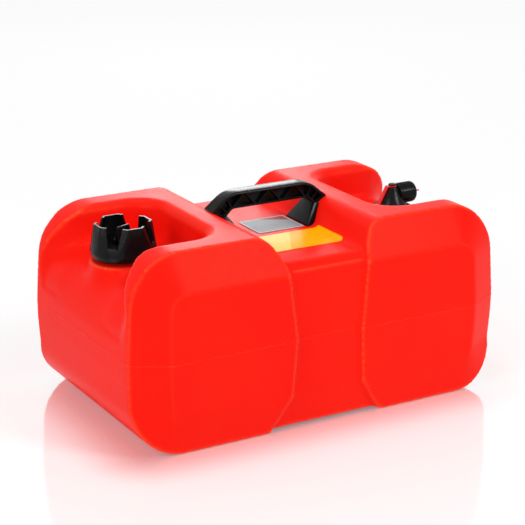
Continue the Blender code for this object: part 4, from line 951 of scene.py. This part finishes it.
def crownSolid(name, shrink=0, low=None):  # a turned blank with eight flats sliced off: the cap, or its bowl
    x = cap["x"]
    (footR, footZ), (waistR, waistZ), (rimR, rimZ) = cap["foot"], cap["waist"], cap["rim"]
    slope = (waistR - rimR) / (rimZ - waistZ)

    def wallAt(height):
        return waistR - slope * (height - waistZ) - shrink, height

    if low is None:
        top = rimZ
        lower = [(0, footZ)] + [(footR + out, footZ + up) for out, up in cap["belly"]]
        lower += [(waistR - cap["waistRound"][0], waistZ - cap["waistRound"][1]), (waistR, waistZ)]
    else:
        top = rimZ + cap["over"]
        lower = [(0, low), wallAt(low)]
    piece = spinZ(name, lower + [wallAt(top), (0, top)], x, 96)
    for i in range(8):
        half = cap["wide"] if i % 2 else cap["narrow"]
        turn = math.radians(45 * i)
        reach = rimR * math.cos(math.radians(half)) - shrink
        tilt = math.atan2(waistR - shrink - reach, rimZ - waistZ)
        out = Vector((math.cos(turn) * math.cos(tilt), math.sin(turn) * math.cos(tilt), math.sin(tilt)))
        spot = (x + reach * math.cos(turn), reach * math.sin(turn), rimZ)
        editMode(piece)
        sliceAt(spot, out, use_fill=True, clear_outer=True)
    return cleanUp(piece)


def crownSlots():
    foot, rim, floor, corner = [cap[part] for part in ("slotFoot", "slotRim", "slotFloor", "slotCorner")]
    top = cap["rim"][1] + cap["over"]
    over = foot + (rim - foot) * (top - floor - foot) / (cap["rim"][1] - floor - foot)
    outline = arc((corner - foot, floor + corner), corner, 180, 270, 8)
    outline += arc((foot - corner, floor + corner), corner, 270, 360, 8) + [(over, top), (-over, top)]
    centre = (cap["x"], 0, 0)
    first = moveAll(slabX("slot", outline, *cap["slotReach"]), centre)
    for i in range(4):
        yield turnAll(copyOf(first, "slotCopy"), math.radians(45 + 90 * i), centre=centre)
    bpy.data.objects.remove(first)


def makeCapCrown():
    piece = crownSolid("capCrown")
    x, (low, high) = cap["x"], cap["deck"]
    skirt = rodZ("skirtBore", cap["bore"], low, cap["boreLow"], x, 64)
    vent = rodZ("ventHole", cap["ventHole"], *cap["ventReach"], x, 32)
    carve(piece, crownSolid("bowl", cap["wall"], high), skirt, vent, *crownSlots(), solver="MANIFOLD")
    cleanUp(piece)
    softenEdges(piece, cap["edge"], 2, 28)
    place(piece, "cap", "black_plastic", "cap_crown", angle=13)


knob = {
    "stem": 0.0042, "stemEdge": 0.0004, "stemFoot": 0.215, "groove": 0.0031, "grooveReach": (0.2174, 0.2158),
    "low": 0.2285, "disc": (0.0125, 0.2325), "crown": [(0.0022, 0), (0.0004, 0.0006), (0, 0.0012)],
    "lowEdge": 0.0004, "grips": 20, "gripDepth": 0.0004, "gripReach": 0.0005,
    "wing": (0.0120, 0.0025, 0.2475), "wingSunk": 0.001, "wingTaper": (0.86, 0.72, 1), "wingEdge": 0.0011,
    "turn": 20,
}


def makeVentKnob():
    x, stem, groove, low, edge = cap["x"], knob["stem"], knob["groove"], knob["low"], knob["lowEdge"]
    radius, top = knob["disc"]
    grooveTop, grooveFoot = knob["grooveReach"]
    profile = [(0, top)] + [(radius - back, top - down) for back, down in knob["crown"]]
    profile += [(radius, low + edge), (radius - edge, low), (stem, low), (stem, grooveTop),
                (groove, grooveTop), (groove, grooveFoot), (stem, grooveFoot),
                (stem - knob["stemEdge"], knob["stemFoot"]), (0, knob["stemFoot"])]
    piece = spinZ("ventKnob", profile, x, 80)

    def isGrip(face):
        middle = face.calc_center_median()
        across = middle.x - x
        return abs(face.normal.z) < 0.1 and low < middle.z < top \
            and gripShare(across, middle.y, knob["grips"]) > 0.5 \
            and math.hypot(across, middle.y) > radius - knob["gripReach"]

    editMode(piece)
    pick("FACE", isGrip)
    bpy.ops.mesh.inset(thickness=0.0001, depth=-knob["gripDepth"])
    objectMode()
    length, half, wingTop = knob["wing"]
    wing = addCube("wing", (x - length, -half, top - knob["wingSunk"]), (x + length, half, wingTop))
    editMode(wing)
    pick("FACE", lambda face: face.normal.z > 0.9)
    stretch(knob["wingTaper"], (x, 0, wingTop))
    turnAll(wing, math.radians(-knob["turn"]), centre=(x, 0, 0))
    softenEdges(wing, knob["wingEdge"], 4, 40)
    weld(piece, wing)
    cleanUp(piece)
    place(piece, "vent", "black_plastic", "vent_knob")


makeCapCrown()
makeVentKnob()


# Fuel pickup and its outlet

pickup = {
    "x": 0.195, "outlet": 0.2318, "edge": 0.0006,
    "nutHole": 0.0201, "nutTop": (0.0250, 0.2168), "nutFoot": (0.0335, 0.2045), "nutStep": 0.003,
    "nutEdge": (0.0003, 0.0004), "nutBore": 0.0292, "nutLip": 0.2143,
    "grips": 24, "gripDepth": 0.0011, "gripReach": (0.34, 0.66),
    "flange": (0.0265, 0.2118, 0.2140), "shoulder": (0.0198, 0.2195), "coneTop": (0.0072, 0.2425),
    "neck": (0.0034, 0.2446), "button": (0.0050, 0.2464), "buttonEdge": 0.0008, "footRise": 0.0010,
    "stem": (0.0080, 0.2030), "boss": (0.0104, 0.2120),
    "duct": 0.0024, "ductPast": 0.0018, "ballBore": (0.0044, 0.1995), "seat": (0.0049, 0.0023), "mouth": 0.01,
    "tubeBore": (0.0048, 0.2121, 0.19), "clear": 0.0003, "clearReach": 0.04,
}
sleeve = {
    "start": 0.2012, "end": 0.2280, "radius": 0.0140, "round": 0.0045, "edge": (0.0004, 0.0012),
    "bore": 0.0107, "lip": (0.0049, 0.21235, 0.21395), "mouth": (0.0072, 0.2260),
    "flutes": 24, "fluteDepth": 0.0007, "fluteStart": 0.2022, "fluteEnd": 0.2225,
}


def makeRingNut():
    x, step, (edge, stepEdge), lip = pickup["x"], pickup["nutStep"], pickup["nutEdge"], pickup["nutLip"]
    hole, bore, (gripLow, gripHigh) = pickup["nutHole"], pickup["nutBore"], pickup["gripReach"]
    (topR, topZ), (footR, footZ) = pickup["nutTop"], pickup["nutFoot"]
    profile = [(hole, topZ), (topR - pickup["edge"], topZ), (topR, topZ - edge),
               (footR - stepEdge, footZ + step + edge), (footR, footZ + step - edge), (footR, footZ),
               (bore, footZ), (bore, lip), (hole, lip)]
    piece = spinZ("pickupRingNut", profile, x, pickup["grips"] * 6)

    def isGrip(face):
        middle = face.calc_center_median()
        across = middle.x - x
        return gripLow < gripShare(across, middle.y, pickup["grips"]) < gripHigh \
            and math.hypot(across, middle.y) > topR and face.normal.z > -0.5 \
            and face.normal.x * across + face.normal.y * middle.y > 0

    editMode(piece)
    pick("FACE", isGrip)
    bpy.ops.mesh.inset(thickness=0.0002, depth=-pickup["gripDepth"])
    cleanUp(piece)
    softenEdges(piece, edge, 2, 30)
    place(piece, "tank", "black_plastic", "pickup_ring_nut")


def makeElbow():
    x, z, edge, clear = pickup["x"], pickup["outlet"], pickup["edge"], pickup["clear"]
    (neckR, neckZ), (buttonR, buttonZ), (coneR, coneZ) = pickup["neck"], pickup["button"], pickup["coneTop"]
    (footR, footZ), (stemR, stemZ) = pickup["shoulder"], pickup["stem"]
    flangeR, flangeLow, flangeTop = pickup["flange"]
    profile = [(0, buttonZ), (buttonR - pickup["buttonEdge"], buttonZ), (buttonR, buttonZ - edge),
               (buttonR, neckZ), (neckR, neckZ), (neckR, coneZ), (coneR - edge, coneZ), (coneR, coneZ - edge),
               (footR - edge, footZ + pickup["footRise"]), (footR, footZ - edge), (footR, flangeTop),
               (flangeR, flangeTop), (flangeR, flangeLow), (stemR, flangeLow), (stemR, stemZ), (0, stemZ)]
    piece = spinZ("pickupElbow", profile, x, 96)
    bossR, bossEnd = pickup["boss"]
    start, reach = sleeve["start"] - clear, x + pickup["clearReach"]
    clearance = rodX("clearance", sleeve["radius"] + clear, start, reach, z, 64)
    boss = rodX("boss", bossR, x, bossEnd, z, 64)
    duct, ductEnd, (ballR, ballStart) = pickup["duct"], x - pickup["ductPast"], pickup["ballBore"]
    seatR, out = pickup["seat"][0], bossEnd + pickup["mouth"]
    seatStart = bossEnd - pickup["seat"][1]
    chamber = spinX("chamber", [(0, out), (seatR, out), (seatR, seatStart), (ballR, seatStart),
                                (ballR, ballStart), (duct, ballStart), (duct, ductEnd), (0, ductEnd)], z, 48)
    tubeR, tubeTop, tubeLow = pickup["tubeBore"]
    riser = spinZ("riser", [(0, z), (duct, z), (duct, tubeTop), (tubeR, tubeTop), (tubeR, tubeLow),
                            (0, tubeLow)], x, 48)
    carve(piece, clearance, solver="MANIFOLD")
    weld(piece, boss)
    carve(piece, chamber, riser, solver="MANIFOLD")
    cleanUp(piece)
    place(piece, "tank", "black_plastic", "pickup_elbow")


def makeSleeve():
    radius, start, end, bore = sleeve["radius"], sleeve["start"], sleeve["end"], sleeve["bore"]
    lipR, lipStart, lipEnd = sleeve["lip"]
    (mouthR, mouthStart), (edge, edgeRun), curve = sleeve["mouth"], sleeve["edge"], sleeve["round"]
    shoulder = [(y, x) for x, y in arc((end - curve, radius - curve), curve, 90, 0, 8)]
    profile = [(mouthR, end)] + list(reversed(shoulder)) + [
        (radius, sleeve["fluteEnd"]), (radius, start + edgeRun), (radius - edge, start), (bore, start),
        (bore, lipStart), (lipR, lipStart), (lipR, lipEnd), (bore, lipEnd), (bore, mouthStart),
        (mouthR, mouthStart)]
    piece = spinX("outletSleeve", profile, pickup["outlet"], sleeve["flutes"] * 4)

    def isFlute(face):
        middle = face.calc_center_median()
        up = middle.z - pickup["outlet"]
        return abs(face.normal.x) < 0.1 and math.hypot(middle.y, up) > radius - edge \
            and gripShare(middle.y, up, sleeve["flutes"]) > 0.5 \
            and sleeve["fluteStart"] < middle.x < sleeve["fluteEnd"]

    editMode(piece)
    pick("FACE", isFlute)
    bpy.ops.mesh.inset(thickness=0.0002, depth=-sleeve["fluteDepth"])
    cleanUp(piece)
    place(piece, "sleeve", "black_plastic", "outlet_sleeve")


plug = {
    "front": 0.0003, "back": 0.0016,  # behind the sleeve's end
    "rim": [(0.0042, 0), (0.0046, 0.0004), (0.0062, 0.0004), (0.0067, 0.0008)],
    "pin": [(0.0016, 0.2184), (0.0012, 0.2180)],
    "tail": (0.0019, 0.0011), "tailSunk": 0.0003, "tailEnd": 0.2385, "tailTaper": (1, 0.8, 0.7),
    "edge": 0.0006,
}


def makeDustPlug():
    z, back, end = pickup["outlet"], sleeve["end"] - plug["back"], sleeve["end"] - plug["front"]
    rim, pin = plug["rim"], plug["pin"]
    profile = [(0, end)] + [(radius, end - behind) for radius, behind in rim]
    profile += [(rim[-1][0], back), (pin[0][0], back)] + pin + [(0, pin[-1][1])]
    piece = spinX("dustPlug", profile, z, 48)
    wide, high = plug["tail"]
    tail = addCube("tail", (back + plug["tailSunk"], -wide, z - high), (plug["tailEnd"], wide, z + high))
    editMode(tail)
    pick("FACE", lambda face: face.normal.x > 0.9)
    stretch(plug["tailTaper"], (plug["tailEnd"], 0, z))
    objectMode()
    softenEdges(tail, plug["edge"], 3, 40)
    weld(piece, tail)
    cleanUp(piece)
    place(piece, "plug", "red_strap", "dust_plug")


strap = {
    "half": 0.0031, "thickness": 0.0018, "ring": (0.0040, 0.0058), "gap": 0.0006, "clear": 0.0003,
    "bend": 0.0014, "tab": 0.006, "holeReach": (0.26, 0.235), "over": 0.02, "edge": 0.00035,
}


def makeStrap():
    x, gap, clear = pickup["x"], strap["gap"], strap["clear"]
    footR = pickup["nutFoot"][0] + gap
    low, floor, high = pickup["coneTop"][1] + clear, necks["pickup"][1] + clear, pickup["neck"][1] - clear
    under = [(pickup["neck"][0] + gap, low), (pickup["coneTop"][0] + gap, low),
             (pickup["shoulder"][0] + gap, pickup["shoulder"][1]),
             (pickup["nutTop"][0] + gap, pickup["nutTop"][1] + gap),
             (footR, pickup["nutFoot"][1] + pickup["nutStep"]), (footR + clear, floor),
             (footR + strap["tab"], floor)]
    soft = under[:1]
    for before, corner, after in zip(under, under[1:], under[2:]):
        soft += rounding(before, corner, after, strap["bend"], 3)
    soft += under[-1:]
    over = []
    for i, (reach, height) in enumerate(soft):
        along = (Vector(soft[min(len(soft) - 1, i + 1)]) - Vector(soft[max(0, i - 1)])).normalized()
        over.append(tuple(Vector((reach, height)) + Vector((-along.y, along.x)) * strap["thickness"]))
    outline = [(x - reach, height) for reach, height in soft + list(reversed(over))]
    piece = slabY("plugStrap", outline, -strap["half"], strap["half"])
    (inner, outer), holeTop = strap["ring"], strap["holeReach"][0]
    ring = spinZ("strapRing", [(inner, low), (outer, low), (outer, high), (inner, high)], x, 48)
    hole = rodZ("strapHole", inner, *strap["holeReach"], x, 48)
    above = rodZ("aboveStrap", strap["over"], holeTop, high, x, 48)
    weld(piece, ring)
    carve(piece, hole, above)
    cleanUp(piece)
    softenEdges(piece, strap["edge"], 2, 35)
    place(piece, "tank", "red_strap", "plug_strap")


makeRingNut()
makeElbow()
makeSleeve()
makeDustPlug()
makeStrap()


# Labels, both bare

labels = {
    "low": 0.2158, "thickness": 0.0004, "corner": 0.0015, "bigCorner": 0.009,
    "silver": (-0.023, 0.044, -0.0235, 0.0325), "yellow": (-0.048, 0.0571, -0.101, -0.0365),  # x, then y
}
silverFinish = {
    "dark": (0.20, 0.225, 0.24), "light": (0.34, 0.375, 0.39), "frame": (0.66, 0.68, 0.70),
    "wedge": (0.22, 0.012, 0.014), "wedgeSlope": 0.55, "wedgeFrom": 0.0330, "margins": (0.0008, 0.0022),
}
yellowFinish = {
    "dark": (0.83, 0.35, 0.001), "light": (0.90, 0.43, 0.002), "slope": -0.55,
    "paleDark": (0.82, 0.52, 0.07), "paleLight": (0.89, 0.60, 0.12), "paleEnd": 0.034,
    "band": (0.93, 0.40, 0.004), "bandEnd": 0.037, "bandShare": 0.7,
}


def makeSilverFilm():  # brushed foil in a bright frame, with a dark wedge in one corner
    look = Look("silverFilm", silverFinish["light"], **{"Metallic": 0.15, "Specular IOR Level": 0.15})
    x, y, _ = look.axes()
    x0, x1, y0, y1 = labels["silver"]

    def within(margin):
        return x.above(x0 + margin) * x.below(x1 - margin) * y.above(y0 + margin) * y.below(y1 - margin)

    outer, inner = silverFinish["margins"]
    brushed = look.noise(1.0, 2.0, 0.5, look.stretched((90, 2600, 90)))
    inside = within(inner)
    wedge = inside * (x * silverFinish["wedgeSlope"] + y).above(silverFinish["wedgeFrom"])
    ground = look.mix(brushed, silverFinish["dark"], silverFinish["light"])
    framed = look.mix(within(outer) - inside, ground, silverFinish["frame"])
    colour = look.mix(wedge, framed, silverFinish["wedge"])
    return look.surface(colour, brushed * 0.16 + 0.38, brushed, 0.00004, 0.5)


def makeYellowFilm():  # plain film, cream at its left end
    look = Look("yellowFilm", yellowFinish["dark"], **{"Specular IOR Level": 0.04})
    x, y, _ = look.axes()
    clouds = look.noise(60.0, 3.0)
    across = x + y * yellowFinish["slope"]
    cream = across.below(yellowFinish["paleEnd"], 0.001)
    band = across.below(yellowFinish["bandEnd"], 0.0006) - cream
    ground = look.mix(clouds, yellowFinish["dark"], yellowFinish["light"])
    pale = look.mix(clouds, yellowFinish["paleDark"], yellowFinish["paleLight"])
    film = look.mix(band * yellowFinish["bandShare"], look.mix(cream, ground, pale), yellowFinish["band"])
    return look.surface(film, clouds * 0.14 + 0.22, look.noise(500.0, 2.0), 0.00006, 0.4)


def roundedPlan(x0, x1, y0, y1, corners):
    points = []
    for (x, y), turn, radius in zip(((x1, y1), (x0, y1), (x0, y0), (x1, y0)), (0, 90, 180, 270), corners):
        centre = (x - math.copysign(radius, x - (x0 + x1) / 2), y - math.copysign(radius, y - (y0 + y1) / 2))
        points += arc(centre, radius, turn, turn + 90, 5)
    return points


def labelSlab(name, corners, radii):
    return slabZ(name, roundedPlan(*corners, radii), labels["low"], labels["low"] + labels["thickness"])


def makeSilverLabel():
    piece = labelSlab("silverLabel", labels["silver"], [labels["corner"]] * 4)
    place(piece, "tank", "silver_film", "silver_label")


def makeYellowLabel():  # its right end runs up the valley's wall
    small, big = labels["corner"], labels["bigCorner"]
    piece = labelSlab("yellowLabel", labels["yellow"], [small, small, small, big])
    curve = [point for point in seatCurve() if point[0] < labels["yellow"][1] + 0.003]
    editMode(piece)
    for x, _ in curve:
        sliceAt((x, 0, 0), (1, 0, 0))
    objectMode()
    for column in sorted({round(vert.co.x, 5) for vert in piece.data.vertices}):
        after = next((i for i, point in enumerate(curve) if point[0] >= column), len(curve) - 1)
        if after > 0:
            (xa, za), (xb, zb) = curve[after - 1], curve[after]
            editMode(piece)
            pick("VERT", lambda vert: near(vert.co.x, column, mergeReach))
            rise = za + (zb - za) * (column - xa) / (xb - xa) - labels["low"]
            bpy.ops.transform.translate(value=(0, 0, rise))
    objectMode()
    cleanUp(piece)
    place(piece, "tank", "yellow_film", "yellow_label")


looks["silver_film"] = makeSilverFilm()
looks["yellow_film"] = makeYellowFilm()
makeSilverLabel()
makeYellowLabel()


# What stays as the CAD has it, in its own finish

plainNodes = {
    "cap_insert": whiteNylon, "cap_gasket": blackRubber, "vent_washer": blackRubber,
    "vent_retaining_clip": steel, "pickup_gasket": blackRubber, "outlet_nipple": brass,
    "check_ball": steel, "check_spring": steel, "dip_tube": whiteNylon, "tube_clamp": steel,
    "strainer_cup": looks["black_plastic"], "strainer_screen": steel,
}
for nodeName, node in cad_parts.items():
    node.data.materials.clear()
    node.data.materials.append(plainNodes.get(nodeName, looks["black_plastic"]))
print("CAD nodes finished")
